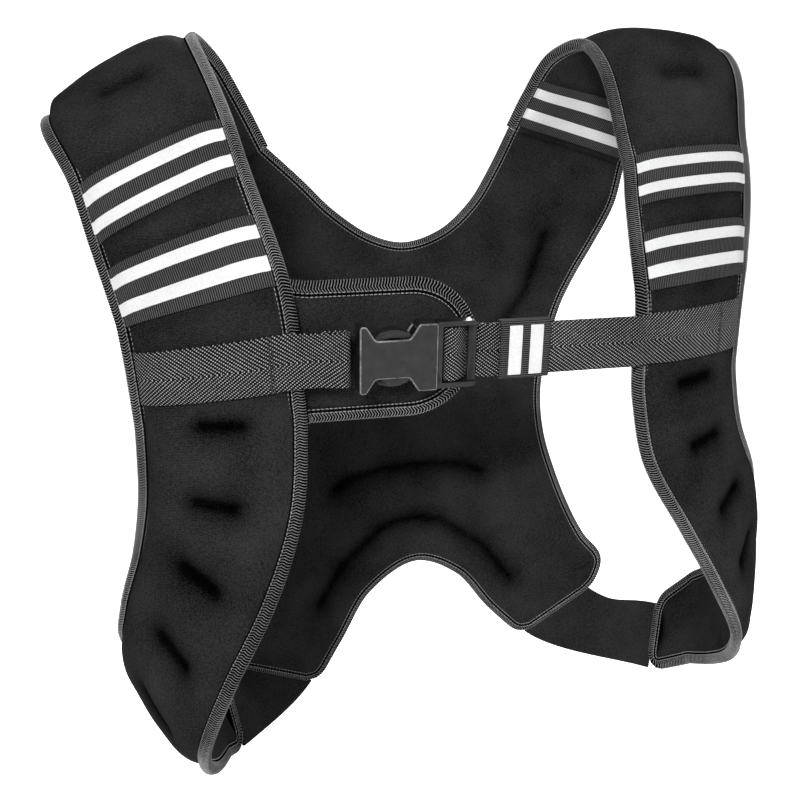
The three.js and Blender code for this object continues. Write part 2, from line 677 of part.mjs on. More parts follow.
// Thin band of neoprene from a lower corner of the back to the end of its strap
function addSideBand(half) {
  const { strap } = half;
  const last = half.sections.at(-1);
  const [pastBack, pastStrap] = [BACK_BINDING_WIDTH, BINDING_WIDTH]
    .map((width) => width + 2 * CLEARANCE);
  const endLine = last.outer.clone().sub(last.inner).normalize();
  const away = new THREE.Vector3().crossVectors(last.normal, endLine)
    .multiplyScalar(half.sign).normalize();
  const tip = strap.section(1);
  const bands = SIDE_BAND_SHARES.map(([atBack, atStrap]) => {
    const start = shifted(between(last.inner, last.outer, atBack), away, pastBack);
    const end = shifted(strap.edge(tip, atStrap), tip.forward, pastStrap);
    return { start, end };
  });
  const reach = bands[0].start.distanceTo(bands[0].end);
  const rows = [];
  for (let i = 0; i <= SIDE_BAND_COLUMNS; i += 1) {
    const t = i / SIDE_BAND_COLUMNS;
    rows.push(bands.map(({ start, end }) => {
      const towards = end.clone().sub(start).normalize();
      const leave = between(towards, away, 0.5).multiplyScalar(reach);
      const arrive = between(towards, tip.forward.clone().negate(), 0.7).multiplyScalar(reach);
      return hermite(start, end, leave, arrive, t);
    }));
  }
  const faces = rows.map((row, i) => {
    const along = rows[Math.min(i + 1, rows.length - 1)][1].clone()
      .sub(rows[Math.max(i - 1, 0)][1]);
    const across = row.at(-1).clone().sub(row[0]);
    const normal = new THREE.Vector3().crossVectors(across, along)
      .multiplyScalar(half.sign).normalize();
    if (i === 0) normal.copy(last.normal);
    if (i === rows.length - 1) normal.copy(tip.normal);
    return [1, -1].map((face) =>
      row.map((point) => shifted(point, normal, face * SIDE_BAND_THICKNESS / 2)));
  });
  const skin = new Skin();
  skin.slab(faces.map(([upper]) => upper), faces.map(([, lower]) => lower));
  addPiece(`side_band_${half.strap.side}`, skin.geometry(), NEOPRENE);
}

function hermite(start, end, leave, arrive, t) {
  const [t2, t3] = [t * t, t * t * t];
  return start.clone().multiplyScalar(2 * t3 - 3 * t2 + 1)
    .addScaledVector(end, 3 * t2 - 2 * t3)
    .addScaledVector(leave, t3 - 2 * t2 + t)
    .addScaledVector(arrive, t3 - t2);
}

for (const half of halves) addSideBand(half);

// The belt's own frame: u runs from the left strap to the right one, t forwards, w up
class Belt {
  constructor() {
    const [left, right] = STRAPS.map((strap) => this.leaves(strap));
    this.start = left;
    this.span = left.distanceTo(right);
    this.along = right.clone().sub(left).normalize();
    const middle = LEFT.section(LEFT.further(WEBBING_RUN, WEBBING_WIDTH / 2));
    this.up = middle.along.clone().negate();
    this.up.addScaledVector(this.along, -this.up.dot(this.along)).normalize();
    this.front = new THREE.Vector3().crossVectors(this.along, this.up);
    const length = SOCKET_FRAME + SOCKET_BODY + LADDER_LENGTH;
    this.socketStart = this.span * BUCKLE_AT - length / 2;
    this.ladderStart = this.socketStart + SOCKET_FRAME + SOCKET_BODY;
    this.ladderEnd = this.ladderStart + LADDER_LENGTH;
    this.socketBar = this.socketStart + 1 + BAR_WIDTH / 2;
    this.ladderBar = this.ladderStart + 0.4 * LADDER_LENGTH;
    this.endBar = this.ladderEnd - 1 - BAR_WIDTH / 2;
    this.keeperStart = this.ladderEnd + KEEPER_FROM_BUCKLE;
    this.frame = new THREE.Group();
    this.frame.matrixAutoUpdate = false;
    this.frame.matrix.makeBasis(this.along, this.front.clone().negate(), this.up)
      .setPosition(this.start);
    vest.add(this.frame);
  }

  // Where the middle of the webbing leaves a strap, just past the binding
  leaves(strap) {
    const section = strap.section(strap.further(WEBBING_RUN, WEBBING_WIDTH / 2));
    return this.overBinding(strap, section, CLEARANCE + BINDING_WIDTH + 2,
      WEBBING_THICKNESS / 2);
  }

  overBinding(strap, section, outwards, height) {
    return shifted(shifted(strap.edge(section, 0), section.across, -outwards),
      section.normal, BINDING_THICKNESS / 2 + CLEARANCE + height);
  }

  at(u, t, w) {
    return shifted(shifted(shifted(this.start, this.along, u), this.front, t), this.up, w);
  }
}

const belt = new Belt();

// Places of the webbing in u and t where it turns round a bar, from front to back
function roundBar(bar, side, from) {
  const steps = 7;
  return Array.from({ length: steps + 1 }, (_, k) => from + (-90 - from) * k / steps)
    .map((angle) => {
      const turn = THREE.MathUtils.degToRad(angle);
      return [bar + side * LOOP_RADIUS * Math.cos(turn), LOOP_RADIUS * Math.sin(turn)];
    });
}

// Webbing from the outer edge of a strap, over its inner edge and along a path of the belt
function addWebbing(name, strap, sections, path, travel) {
  const marks = marksOf(strap, WEBBING_RUN, WEBBING_WIDTH);
  const crossed = marks.map((mark) => sections.find(({ run }) => Math.abs(run - mark) < 1e-6));
  const lift = (BINDING_THICKNESS - EDGE_THICKNESS) / 2 + CLEARANCE;
  const stations = [];
  for (let j = BELT_COLUMNS - 1; j >= 0; j -= 1) {
    const low = j === 0 ? lift : CLEARANCE;
    stations.push([low, low + WEBBING_THICKNESS].map((height) =>
      crossed.map((section) => strap.on(section, ACROSS[j], height))));
  }
  stations.push([0, WEBBING_THICKNESS].map((height) => crossed.map((section) =>
    belt.overBinding(strap, section, CLEARANCE + 0.6 * BINDING_WIDTH, height))));
  path.forEach(([u, t], k) => {
    const [u0, t0] = path[Math.max(k - 1, 0)];
    const [u1, t1] = path[Math.min(k + 1, path.length - 1)];
    const length = Math.hypot(u1 - u0, t1 - t0);
    const [across, forwards] = [-travel * (t1 - t0) / length, travel * (u1 - u0) / length];
    stations.push([-1, 1].map((face) => [1, 0, -1].map((line) => belt.at(
      u + face * across * WEBBING_THICKNESS / 2, t + face * forwards * WEBBING_THICKNESS / 2,
      line * WEBBING_WIDTH / 2))));
  });
  addLayer(name, stations.map(([, upper]) => upper), stations.map(([lower]) => lower),
    WEBBING);
}

// Left webbing is sewn round the socket's bar
addWebbing('webbing_left', LEFT, strapSections.get(LEFT), [
  [0, 0],
  [belt.socketBar - 3 * LOOP_RADIUS, 0],
  ...roundBar(belt.socketBar, 1, 90),
  [belt.socketBar - TAIL_LENGTH, -LOOP_RADIUS],
], 1);

// Right webbing runs under the ladder's end bar, round its middle bar and back to the keeper
const underBar = -BAR_WIDTH / 2 - CLEARANCE - WEBBING_THICKNESS / 2;
const layerStep = WEBBING_THICKNESS + CLEARANCE;
addWebbing('webbing_right', RIGHT, strapSections.get(RIGHT), [
  [belt.span, 0],
  [belt.keeperStart + KEEPER_LENGTH, 0],
  [belt.endBar + 3 * BAR_WIDTH, 0],
  [belt.endBar + BAR_WIDTH, underBar],
  [belt.endBar - 0.8 * BAR_WIDTH, underBar],
  ...roundBar(belt.ladderBar, -1, 130),
  [belt.endBar - 0.8 * BAR_WIDTH, underBar - layerStep],
  [belt.endBar + BAR_WIDTH, underBar - layerStep],
  [belt.endBar + 3 * BAR_WIDTH, -layerStep],
  [belt.keeperStart + KEEPER_LENGTH / 2, -layerStep],
], -1);

// Outline in u and w, thick in t, in the belt's frame
function plate(outline, thickness, holes = []) {
  const shape = new THREE.Shape(outline.map(([u, w]) => new THREE.Vector2(u, w)));
  for (const hole of holes) {
    shape.holes.push(new THREE.Path(hole.map(([u, w]) => new THREE.Vector2(u, w))));
  }
  return new THREE.ExtrudeGeometry(shape, { depth: thickness, bevelEnabled: false })
    .translate(0, 0, -thickness / 2).rotateX(Math.PI / 2);
}

const box = (u0, u1, w0, w1) => [[u0, w0], [u1, w0], [u1, w1], [u0, w1]];

function solid(geometry) {
  const bare = geometry.clone();
  bare.deleteAttribute('normal');
  bare.deleteAttribute('uv');
  const merged = mergeVertices(bare, 1e-4);
  return new wasm.Manifold(new wasm.Mesh({
    numProp: 3,
    vertProperties: new Float32Array(merged.attributes.position.array),
    triVerts: new Uint32Array(merged.index.array),
  }));
}

function geometryOf(manifold) {
  const mesh = manifold.getMesh();
  const geometry = new THREE.BufferGeometry();
  geometry.setAttribute('position', new THREE.BufferAttribute(mesh.vertProperties, 3));
  geometry.setIndex(new THREE.BufferAttribute(mesh.triVerts, 1));
  geometry.computeVertexNormals();
  return geometry;
}

// Socket half: hollow body with two side windows, and a frame with one bar
function addSocket() {
  const half = BUCKLE_HEIGHT / 2;
  const start = belt.socketStart;
  const body = [start + SOCKET_FRAME, start + SOCKET_FRAME + SOCKET_BODY];
  const middle = start + SOCKET_FRAME + 0.42 * SOCKET_BODY;
  const window = (side) => [0.5, 0.42, 0.3, -0.3, -0.42, -0.5].map((share, k) => [
    middle + share * WINDOW_LENGTH,
    side * (half - [0, 0.6, 1, 1, 0.6, 0][k] * WINDOW_DEPTH)]);
  const outline = [[body[0], -half], ...window(-1).reverse(), [body[1], -half],
    [body[1], half], ...window(1), [body[0], half]];
  const railEdge = half - RAIL_WIDTH;
  const socket = solid(plate(outline, SOCKET_THICKNESS))
    .add(solid(plate(box(start, body[0] + 1, railEdge, half), FRAME_THICKNESS)))
    .add(solid(plate(box(start, body[0] + 1, -half, -railEdge), FRAME_THICKNESS)))
    .add(solid(plate(box(belt.socketBar - BAR_WIDTH / 2, belt.socketBar + BAR_WIDTH / 2,
      -half + 1, half - 1), BAR_WIDTH)))
    .subtract(solid(plate(box(body[0] + SOCKET_WALL, body[1] + 1, -railEdge, railEdge),
      SOCKET_THICKNESS - 2 * SOCKET_WALL)));
  addPiece('buckle_socket', geometryOf(socket), PLASTIC, belt.frame);
}

// Plug half: two springy prongs inside the socket, and a ladder frame for the webbing
function addPlug() {
  const half = BUCKLE_HEIGHT / 2;
  const railEdge = half - RAIL_WIDTH;
  const thin = SOCKET_THICKNESS - 2 * SOCKET_WALL - 2 * CLEARANCE;
  const start = belt.ladderStart + CLEARANCE;
  const reach = SOCKET_BODY - SOCKET_WALL - 4;
  const prong = [[1, 0.66], [0.7, 0.62], [0.45, 0.74], [0.15, 0.7], [0, 0.55]]
    .map(([u, w]) => [start - reach * (1 - u), railEdge * w]);
  const prongOutline = (side) => [...prong.map(([u, w]) => [u, side * w]),
    ...prong.map(([u, w], k) => [u, side * (w - (k === 4 ? 0.3 : 1) * PRONG_WIDTH)])
      .reverse()];
  const bar = (u, reachUp) => solid(plate(box(u - BAR_WIDTH / 2, u + BAR_WIDTH / 2,
    -reachUp, reachUp), BAR_WIDTH));
  const rail = (side) => solid(plate(box(start, belt.ladderEnd, side * half,
    side * railEdge), FRAME_THICKNESS));
  const shoulder = solid(plate(box(start, start + RAIL_WIDTH, -half, half),
    FRAME_THICKNESS));
  const plug = [
    bar(belt.ladderBar, half - 1),
    bar(belt.endBar, half - 1),
    rail(1),
    rail(-1),
    solid(plate(prongOutline(1), thin)),
    solid(plate(prongOutline(-1), thin)),
    solid(plate(box(start - reach / 2, start + 1, -PRONG_WIDTH / 2, PRONG_WIDTH / 2), thin)),
  ].reduce((whole, part) => whole.add(part), shoulder);
  addPiece('buckle_plug', geometryOf(plug), PLASTIC, belt.frame);
}

// Elastic loop round both layers of the webbing, with two reflective stripes in front
function addKeeper() {
  const inner = [-1.5 * WEBBING_THICKNESS - 2 * CLEARANCE,
    WEBBING_THICKNESS / 2 + CLEARANCE];
  const reach = WEBBING_WIDTH / 2 + CLEARANCE;
  const block = (grow, length) => solid(new THREE.BoxGeometry(length,
    inner[1] - inner[0] + 2 * grow, 2 * (reach + grow))
    .translate(belt.keeperStart + KEEPER_LENGTH / 2, -(inner[0] + inner[1]) / 2, 0));
  const loop = block(KEEPER_THICKNESS, KEEPER_LENGTH).subtract(block(0, 2 * KEEPER_LENGTH));
  addPiece('webbing_keeper', geometryOf(loop), ELASTIC, belt.frame);
  const front = inner[1] + KEEPER_THICKNESS + CLEARANCE + STRIPE_THICKNESS / 2;
  [0.3, 0.72].forEach((share, k) => {
    const stripe = new THREE.BoxGeometry(KEEPER_STRIPE, STRIPE_THICKNESS, 2 * reach)
      .translate(belt.keeperStart + share * KEEPER_LENGTH, -front, 0);
    addPiece(`webbing_keeper_stripe_${k + 1}`, stripe, REFLECTIVE, belt.frame);
  });
}

// Guard flap: sewn under the left strap's inner edge, with a round free end
function addFlap() {
  const lines = [1, 0.5, 0, -0.5, -1];
  const under = WEBBING_WIDTH / 2;
  const radius = FLAP_HEIGHT / 2;
  const middle = FLAP_REACH - radius;
  const columns = [];
  for (let j = FLAP_COLUMNS - 1; j > 0; j -= 1) {
    columns.push([FLAP_SEAT, FLAP_SEAT + FLAP_THICKNESS].map((height) => lines.map((line) =>
      LEFT.on(LEFT.section(LEFT.further(WEBBING_RUN, under - line * radius)), ACROSS[j],
        height, true))));
  }
  const face = (u, height) => [-1, 1].map((side) => lines.map((line) => belt.at(u,
    -FLAP_BEHIND - side * FLAP_THICKNESS / 2, line * height)));
  for (const share of [0.06, 0.35, 0.68, 1]) columns.push(face(middle * share, radius));
  const edges = columns.map((column) => [0, 4].map((line) =>
    between(column[0][line], column[1][line], 0.5)));
  for (const angle of [20, 38, 55, 70, 82]) {
    const turn = THREE.MathUtils.degToRad(angle);
    const column = face(middle + radius * Math.sin(turn), radius * Math.cos(turn));
    columns.push(column);
    edges.push([0, 4].map((line) => between(column[0][line], column[1][line], 0.5)));
  }
  addLayer('guard_flap', columns.map(([front]) => front), columns.map(([, back]) => back),
    NEOPRENE);
  const free = edges.slice(FLAP_COLUMNS - 1);
  const rim = [...free.map(([top]) => top), ...free.map(([, bottom]) => bottom).reverse()];
  addBinding('guard_flap_binding', rim.map((point) => ({ point, normal: belt.front })), -1);
}

addSocket();
addPlug();
addKeeper();
addFlap();

vest.updateMatrixWorld(true);
export default vest;
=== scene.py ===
import math

import bmesh
import bpy
import numpy as np
from mathutils import Matrix, Vector


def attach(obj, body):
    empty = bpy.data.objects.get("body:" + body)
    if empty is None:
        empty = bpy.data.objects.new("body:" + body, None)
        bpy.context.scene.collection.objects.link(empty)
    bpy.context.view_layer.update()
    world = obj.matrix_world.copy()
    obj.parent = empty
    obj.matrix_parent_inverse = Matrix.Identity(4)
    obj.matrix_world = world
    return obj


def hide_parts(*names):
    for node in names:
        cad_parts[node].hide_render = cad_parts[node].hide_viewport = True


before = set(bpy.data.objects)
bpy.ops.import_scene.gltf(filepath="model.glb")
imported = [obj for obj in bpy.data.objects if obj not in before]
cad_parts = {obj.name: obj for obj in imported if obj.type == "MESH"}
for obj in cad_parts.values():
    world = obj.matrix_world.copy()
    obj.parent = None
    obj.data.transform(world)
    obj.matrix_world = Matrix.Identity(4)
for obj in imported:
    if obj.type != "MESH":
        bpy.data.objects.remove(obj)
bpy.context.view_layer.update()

MM = 0.001

# Sizes of the vest, as in the part's source
SHOULDER_SPREAD = 160
CHEST_DEPTH = 108
BACK_DEPTH = 50
DROP = 420
BACK_LENGTH = 0.9 * DROP
CREST_RISE = 9
CLEARANCE = 0.4

# Padded straps and back
STRAP_WIDTH = 80
STRAP_END_WIDTH = 44
PAD_THICKNESS = 16
EDGE_THICKNESS = 5
STRAP_BOW = 5
BACK_BOW = 4
EDGE_ROLL = 19
FLAT_MARGIN = 2.6  # neoprene stays flat this far in from a sewn edge
END_ROUND = 7  # corner radius of a strap's end and of the back's lower corners
SEAM_GAP = 0.4
SEAM_SLOPE = 1.6  # how fast the padding fills up away from the shoulder seam
SEAM_TUCK = 1.8  # how far a strap's first end reaches under the back
CREST_FILL = {"left": 1.6, "right": 0.0}  # how much fuller the shoulder's outer corner is
CREST_RUN = 0.16
CREST_SPREAD = 0.06
PAD_STEP = 2.8
PAD_SHARES = np.concatenate([[0, 0.02], np.linspace(0.05, 0.95, 33), [0.98, 1]])

# Overlocked edges and other stitches
BINDING_WIDTH = 6
BACK_BINDING_WIDTH = 4
BINDING_THICKNESS = 7
EDGE_STEP = 2.0
OVERLOCK_PITCH = 1.5
OVERLOCK_THREAD = 0.45
OVERLOCK_HEIGHT = 3.3
OVERLOCK_SLANT = 1.5
CHAIN_PITCH = 2.3
CHAIN_THREAD = 0.7
TACK_PITCH = 1.5
TACK_THICKNESS = 0.5

# Elastic bands with reflective tape
BAND_WIDTH = 35
BAND_THICKNESS = 1.2
UPPER_LEFT_SLANT = 7.0  # how far the upper left band runs down over the strap's width
STRIPE_WIDTH = 7
STRIPE_MARGIN = 6
TAPE_RISE = 0.45
TAPE_SUNK = 0.1

# Chest belt, its buckle and its keeper
WEBBING_RUN = 0.475
WEBBING_WIDTH = 28
WEBBING_THICKNESS = 1.6
TAIL_LENGTH = 10
LOOP_RADIUS = 3.3
BUCKLE_AT = 0.29
BUCKLE_HEIGHT = 35
SOCKET_THICKNESS = 12
SOCKET_BODY = 40
SOCKET_FRAME = 10
SOCKET_WALL = 2
LADDER_LENGTH = 21
FRAME_THICKNESS = 7
RAIL_WIDTH = 2.6
BAR_WIDTH = 3
WINDOW_DEPTH = 7.5
WINDOW_LENGTH = 24
PRONG_WIDTH = 4
KEEPER_LENGTH = 27
KEEPER_THICKNESS = 1.2
KEEPER_FROM_BUCKLE = 13
KEEPER_STRIPE = 7

# Guard flap and side bands
FLAP_HEIGHT = 62
FLAP_REACH = 87
FLAP_THICKNESS = 4
FLAP_BEHIND = 13
FLAP_SEAT = 1.3
SIDE_BAND_THICKNESS = 3
SIDE_BAND_SHARES = [(0.02, -0.12), (0.49, 0.42), (0.96, 0.96)]  # on the back's end, on the strap's
SIDE_BAND_LAP = 1.6  # how far a side band reaches under the bindings

# Sections of the straps: run, x, y, z as shares of the sizes; turn, tilt in degrees; taper
STRAP_COLUMNS = ("run", "x", "y", "z", "turn", "tilt", "taper")
RIGHT_STRAP = [
    (0, 0.765, 0.94, -0.143, 1, -19, 0),
    (0.04, 0.83, 0.84, -0.095, 0, -18, 0),
    (0.1, 0.925, 0.54, -0.03, -3, -12, -0.03),
    (0.16, 1.022, -0.02, -0.014, -5, -5, -0.05),
    (0.29, 0.967, -0.49, -0.16, 9, 1, 0.06),
    (0.35, 0.912, -0.685, -0.224, 12, 2, 0.06),
    (0.44, 0.82, -0.955, -0.32, 21, 1, 0.03),
    (0.475, 0.806, -0.985, -0.359, 23, 0, 0.04),
    (0.525, 0.806, -0.94, -0.43, 22, 0, 0.1),
    (0.56, 0.812, -0.915, -0.472, 22, 2, 0.12),
    (0.62, 0.858, -0.88, -0.557, 25, 4, 0.04),
    (0.69, 0.983, -0.824, -0.65, 34, 10, 0),
    (0.76, 1.09, -0.713, -0.738, 47, 17, 0),
    (0.835, 1.18, -0.53, -0.822, 60, 30, 0),
    (0.92, 1.225, -0.18, -0.912, 58, 50, 0.55),
    (1, 1.09, 0.38, -0.98, 40, 68, 1),
]
LEFT_STRAP = [
    (0, 0.765, 0.94, -0.158, 1, -22, 0),
    (0.04, 0.825, 0.84, -0.108, 0, -23, 0),
    (0.1, 0.935, 0.54, -0.047, -4, -26, -0.16),
    (0.16, 1.03, 0, -0.026, -8, -27, -0.22),
    (0.29, 0.962, -0.52, -0.123, 11, -17, 0),
    (0.35, 0.925, -0.695, -0.193, 16, -18, 0),
    (0.44, 0.865, -0.955, -0.298, 20, -14, 0),
    (0.475, 0.85, -0.98, -0.35, 21, -5, 0),
    (0.525, 0.845, -0.945, -0.42, 23, -4, 0),
    (0.56, 0.843, -0.925, -0.466, 23, -1, 0),
    (0.62, 0.868, -0.907, -0.56, 27, 2, 0),
    (0.69, 0.945, -0.85, -0.655, 40, 13, 0),
    (0.76, 1.056, -0.77, -0.75, 52, 22, 0),
    (0.835, 1.115, -0.575, -0.843, 59, 34, 0),
    (0.92, 1.025, -0.22, -0.922, 60, 54, 0.35),
    (1, 0.885, 0.22, -0.974, 60, 72, 1),
]

# Sections of one half of the back: run, inner end x y z, outer end x y z, lean, sway
BACK_COLUMNS = ("run", "innerX", "innerY", "innerZ", "outerX", "outerY", "outerZ")
BACK_HALF = [
    (0.06, 0.42, 1, -0.173, 0.93, 0.98, -0.238, 0.026, 0.01),
    (0.13, 0.31, 1.04, -0.225, 0.825, 0.98, -0.29, 0.041, 0),
    (0.2, 0.166, 1.08, -0.268, 0.72, 1, -0.345, 0.05, 0),
    (0.27, 0, 1.1, -0.286, 0.65, 1, -0.395, 0.045, 0),
    (0.38, 0, 1.12, -0.37, 0.603, 1.02, -0.47, 0.03, 0.01),
    (0.48, 0, 1.12, -0.47, 0.572, 1.04, -0.545, 0.025, 0.02),
    (0.58, 0, 1.12, -0.575, 0.587, 1.04, -0.625, 0.02, 0.04),
    (0.68, 0, 1.1, -0.683, 0.643, 1.02, -0.705, 0.015, 0.05),
    (0.78, 0, 1.06, -0.803, 0.713, 1, -0.775, 0.01, 0.05),
    (0.86, 0.218, 1.04, -0.843, 0.793, 0.98, -0.826, -0.007, 0.05),
    (0.93, 0.356, 1.02, -0.915, 0.87, 0.95, -0.872, -0.01, 0.06),
    (1, 0.486, 1, -0.978, 0.822, 0.95, -0.916, 0, 0.065),
]
NECK_END = 0.27
ARCH_START = 0.78

# Tacks of the straps: run, across, length, slope, depth
TACKS = [
    (0.213, 0.49, 19, 0.0, 0.4),
    (0.425, 0.55, 40, 0.0, 0.25),
    (0.549, 0.45, 20, -0.05, 0.7),
    (0.615, 0.49, 20, -0.12, 0.72),
    (0.685, 0.46, 20, -0.32, 0.72),
    (0.754, 0.42, 20, -0.3, 0.72),
    (0.828, 0.42, 22, -0.38, 0.7),
]
TACK_SPREAD = 13
SLIT_SPREAD = 3.4

# Channels sewn into the back: depth, points as shares of the spread and the drop
CHANNELS = [
    (0.5, [(0.3, -0.46), (0.44, -0.43), (0.56, -0.37), (0.66, -0.28)]),
    (0.5, [(0, -0.645), (0.12, -0.645), (0.26, -0.655), (0.33, -0.67)]),
    (0.6, [(0, -0.735), (0.13, -0.745), (0.32, -0.8), (0.44, -0.865)]),
]
CHANNEL_SPREAD = 9

# Bands across the straps: name, upper edge, whether on the inside
BANDS = [("upper_band", 0.297, False), ("lower_band", 0.389, False), ("shoulder_band", 0.006, True)]

# What presses the straps' padding flatter: upper edge, width, share pressed in
PRESSED = [(0.297, BAND_WIDTH, 0.55), (0.389, BAND_WIDTH, 0.55), (WEBBING_RUN, WEBBING_WIDTH, 0.3)]
PRESS_SPREAD = 9


def hermite(start, end, leave, arrive, t):
    """A smooth way from a start to an end, with a slope at each."""
    t2, t3 = t * t, t * t * t
    return (start * (2 * t3 - 3 * t2 + 1) + end * (3 * t2 - 2 * t3)
            + leave * (t3 - 2 * t2 + t) + arrive * (t3 - t2))


def through(rows, columns, column, run):
    """Smooth value of one column of a table at places along it."""
    run = np.asarray(run, float)
    at = np.array([row[columns.index("run")] for row in rows], float)
    value = np.array([row[columns.index(column)] for row in rows], float)
    slope = np.empty_like(value)
    slope[1:-1] = (value[2:] - value[:-2]) / (at[2:] - at[:-2])
    slope[0] = (value[1] - value[0]) / (at[1] - at[0])
    slope[-1] = (value[-1] - value[-2]) / (at[-1] - at[-2])
    k = np.clip(np.searchsorted(at, run, side="left") - 1, 0, len(at) - 2)
    span = at[k + 1] - at[k]
    t = np.clip((run - at[k]) / span, 0, 1)
    return hermite(value[k], value[k + 1], slope[k] * span, slope[k + 1] * span, t)


def path_lengths(points):
    """Length along a line of points, from its start to each of them."""
    steps = np.linalg.norm(np.diff(points, axis=0), axis=1)
    return np.concatenate([[0], np.cumsum(steps)])


def unit(vectors):
    vectors = np.asarray(vectors, float)
    return vectors / np.linalg.norm(vectors, axis=-1, keepdims=True)


def bump(distance, spread):
    """One on a line, and falling softly to nothing beside it."""
    return np.exp(-((distance / spread) ** 2))


def smoothstep(x, low, high):
    """From nothing at the low end to one at the high end."""
    t = np.clip((x - low) / (high - low), 0, 1)
    return t * t * (3 - 2 * t)


def roll(distance):
    """Share of the full padding at a distance from a sewn edge."""
    inside = np.clip((distance - FLAT_MARGIN) / (EDGE_ROLL - FLAT_MARGIN), 0, 1)
    return np.sqrt(1 - (1 - inside) ** 2)


def distance_to(line, points):
    """Distance from each point to a line of points."""
    line = np.asarray(line, float)
    least = np.full(len(points), np.inf)
    for a, b in zip(line[:-1], line[1:]):
        along = b - a
        t = np.clip(((points - a) @ along) / max(along @ along, 1e-9), 0, 1)
        least = np.minimum(least, np.linalg.norm(points - a - t[:, None] * along, axis=1))
    return least


def uneven(along, across):
    """Filling is never even: a share near one that wanders along and across a pad."""
    return (1 + 0.05 * np.sin(along / 15 + 1.3 * np.sin(across / 21)) * np.sin(across / 13 + 0.7)
            + 0.03 * np.sin(along / 6.1 + across / 9.3) + 0.02 * np.sin(across / 4.7 - along / 8.9))


class Strap:
    """A padded strap: places on its middle layer and on its two faces."""

    def __init__(self, side, sign, rows):
        self.side, self.sign, self.rows = side, sign, rows
        self.crest = CREST_FILL[side]
        self.samples = np.linspace(0, 1, 241)
        self.lengths = path_lengths(self.middle(self.samples))
        self.length = self.lengths[-1]

    def value(self, column, run):
        return through(self.rows, STRAP_COLUMNS, column, run)

    def middle(self, run):
        y = self.value("y", run)
        return np.stack([
            self.sign * SHOULDER_SPREAD * self.value("x", run),
            np.where(y < 0, CHEST_DEPTH * y, BACK_DEPTH * y),
            CREST_RISE + DROP * self.value("z", run)], axis=-1)

    def place(self, run):
        """Millimetres along the strap at a run."""
        return np.interp(run, self.samples, self.lengths)

    def run(self, place):
        """Run at millimetres along the strap."""
        return np.interp(place, self.lengths, self.samples)

    def further(self, run, distance):
        return self.run(self.place(run) + distance)

    def frame(self, run):
        """Ways across the strap, forwards along it, out of it, and along its middle line."""
        run = np.asarray(run, float)
        turn, tilt = np.radians(self.value("turn", run)), np.radians(self.value("tilt", run))
        across = np.stack([self.sign * np.cos(tilt) * np.cos(turn),
                           np.cos(tilt) * np.sin(turn), np.sin(tilt)], axis=-1)
        along = unit(self.middle(np.minimum(run + 0.01, 1)) - self.middle(np.maximum(run - 0.01, 0)))
        normal = unit(np.cross(along, across) * self.sign)
        forward = np.cross(across, normal) * self.sign
        return across, forward, normal, along

    def width(self, run):
        taper = np.minimum(self.value("taper", run), 1)
        full = STRAP_WIDTH + (STRAP_END_WIDTH - STRAP_WIDTH) * taper
        left = np.clip(END_ROUND - (self.length - self.place(run)), 0, END_ROUND)
        return full - 2 * (END_ROUND - np.sqrt(END_ROUND ** 2 - left ** 2))

    def unpressed(self, run):
        """Share of the padding left where bands and webbing cross the strap."""
        left = np.ones(len(run))
        for at, width, depth in PRESSED:
            away = np.abs(self.place(run) - self.place(at) - width / 2)
            left *= 1 - depth * bump(np.maximum(0, away - width / 2), PRESS_SPREAD)
        return left

    def tacks(self, run, v):
        """Each tack's depth, and how far points lie from its line and past its ends."""
        width, place = self.width(run)[:, None], self.place(run)[:, None]
        for at, across, length, slope, depth in TACKS:
            aside = (v - across) * width
            away = place - self.place(at) - slope * aside
            yield depth, away, np.maximum(0, np.abs(aside) - length / 2)

    def half(self, run, v):
        """Half the pad's thickness on a grid of runs and shares across."""
        width, place = self.width(run)[:, None], self.place(run)[:, None]
        to_edge = np.minimum(np.minimum(v * width, (1 - v) * width), self.length - place)
        corner = bump(run[:, None] - CREST_RUN, CREST_SPREAD) * smoothstep(v, 0.5, 0.9)
        to_edge = np.minimum(to_edge * (1 + self.crest * corner), FLAT_MARGIN + place * SEAM_SLOPE)
        kept = np.ones_like(to_edge)
        for depth, away, past in self.tacks(run, v):
            kept *= 1 - depth * 0.8 * bump(away, TACK_SPREAD) * bump(past, TACK_SPREAD)
            kept *= 1 - depth * 1.2 * bump(away, SLIT_SPREAD) * bump(past, 3.5)
        kept *= self.unpressed(run)[:, None] * uneven(place, v * width + 31 * self.sign)
        full = (PAD_THICKNESS - EDGE_THICKNESS) / 2
        return EDGE_THICKNESS / 2 + full * roll(to_edge) * kept

    def painted_shade(self, run, v):
        """How much painted shade darkens the pile: round the tacks and beside what crosses the strap."""
        dent_shade = 0.55 * (1 - self.unpressed(run))[:, None]
        for depth, away, past in self.tacks(run, v):
            slit_shade = (0.62 * bump(away, 8.5) * bump(past, 9)
                          + 0.38 * bump(away, SLIT_SPREAD) * bump(past, 4))
            dent_shade = np.maximum(dent_shade, slit_shade * min(1, depth / 0.65))
        return dent_shade

    def on(self, run, v, height=0.0, inside=False):
        """Points over the outer face, or over the inner one, at a height above it."""
        run, v = np.atleast_1d(run).astype(float), np.atleast_1d(v).astype(float)
        across, _, normal, _ = self.frame(run)
        bow = STRAP_BOW * 4 * v * (1 - v) * self.unpressed(run)[:, None]
        half = self.half(run, v[None, :])
        level = -half - height if inside else half + height
        return (self.middle(run)[:, None, :]
                + across[:, None, :] * ((v - 0.5)[None, :] * self.width(run)[:, None])[..., None]
                + normal[:, None, :] * (bow + level)[..., None])

    def edge(self, run, v):
        """Points of the middle layer at a share across, with no bow."""
        run = np.atleast_1d(run).astype(float)
        across = self.frame(run)[0]
        return self.middle(run) + across * ((v - 0.5) * self.width(run))[:, None]


LEFT, RIGHT = Strap("left", -1, LEFT_STRAP), Strap("right", 1, RIGHT_STRAP)
STRAPS = [LEFT, RIGHT]


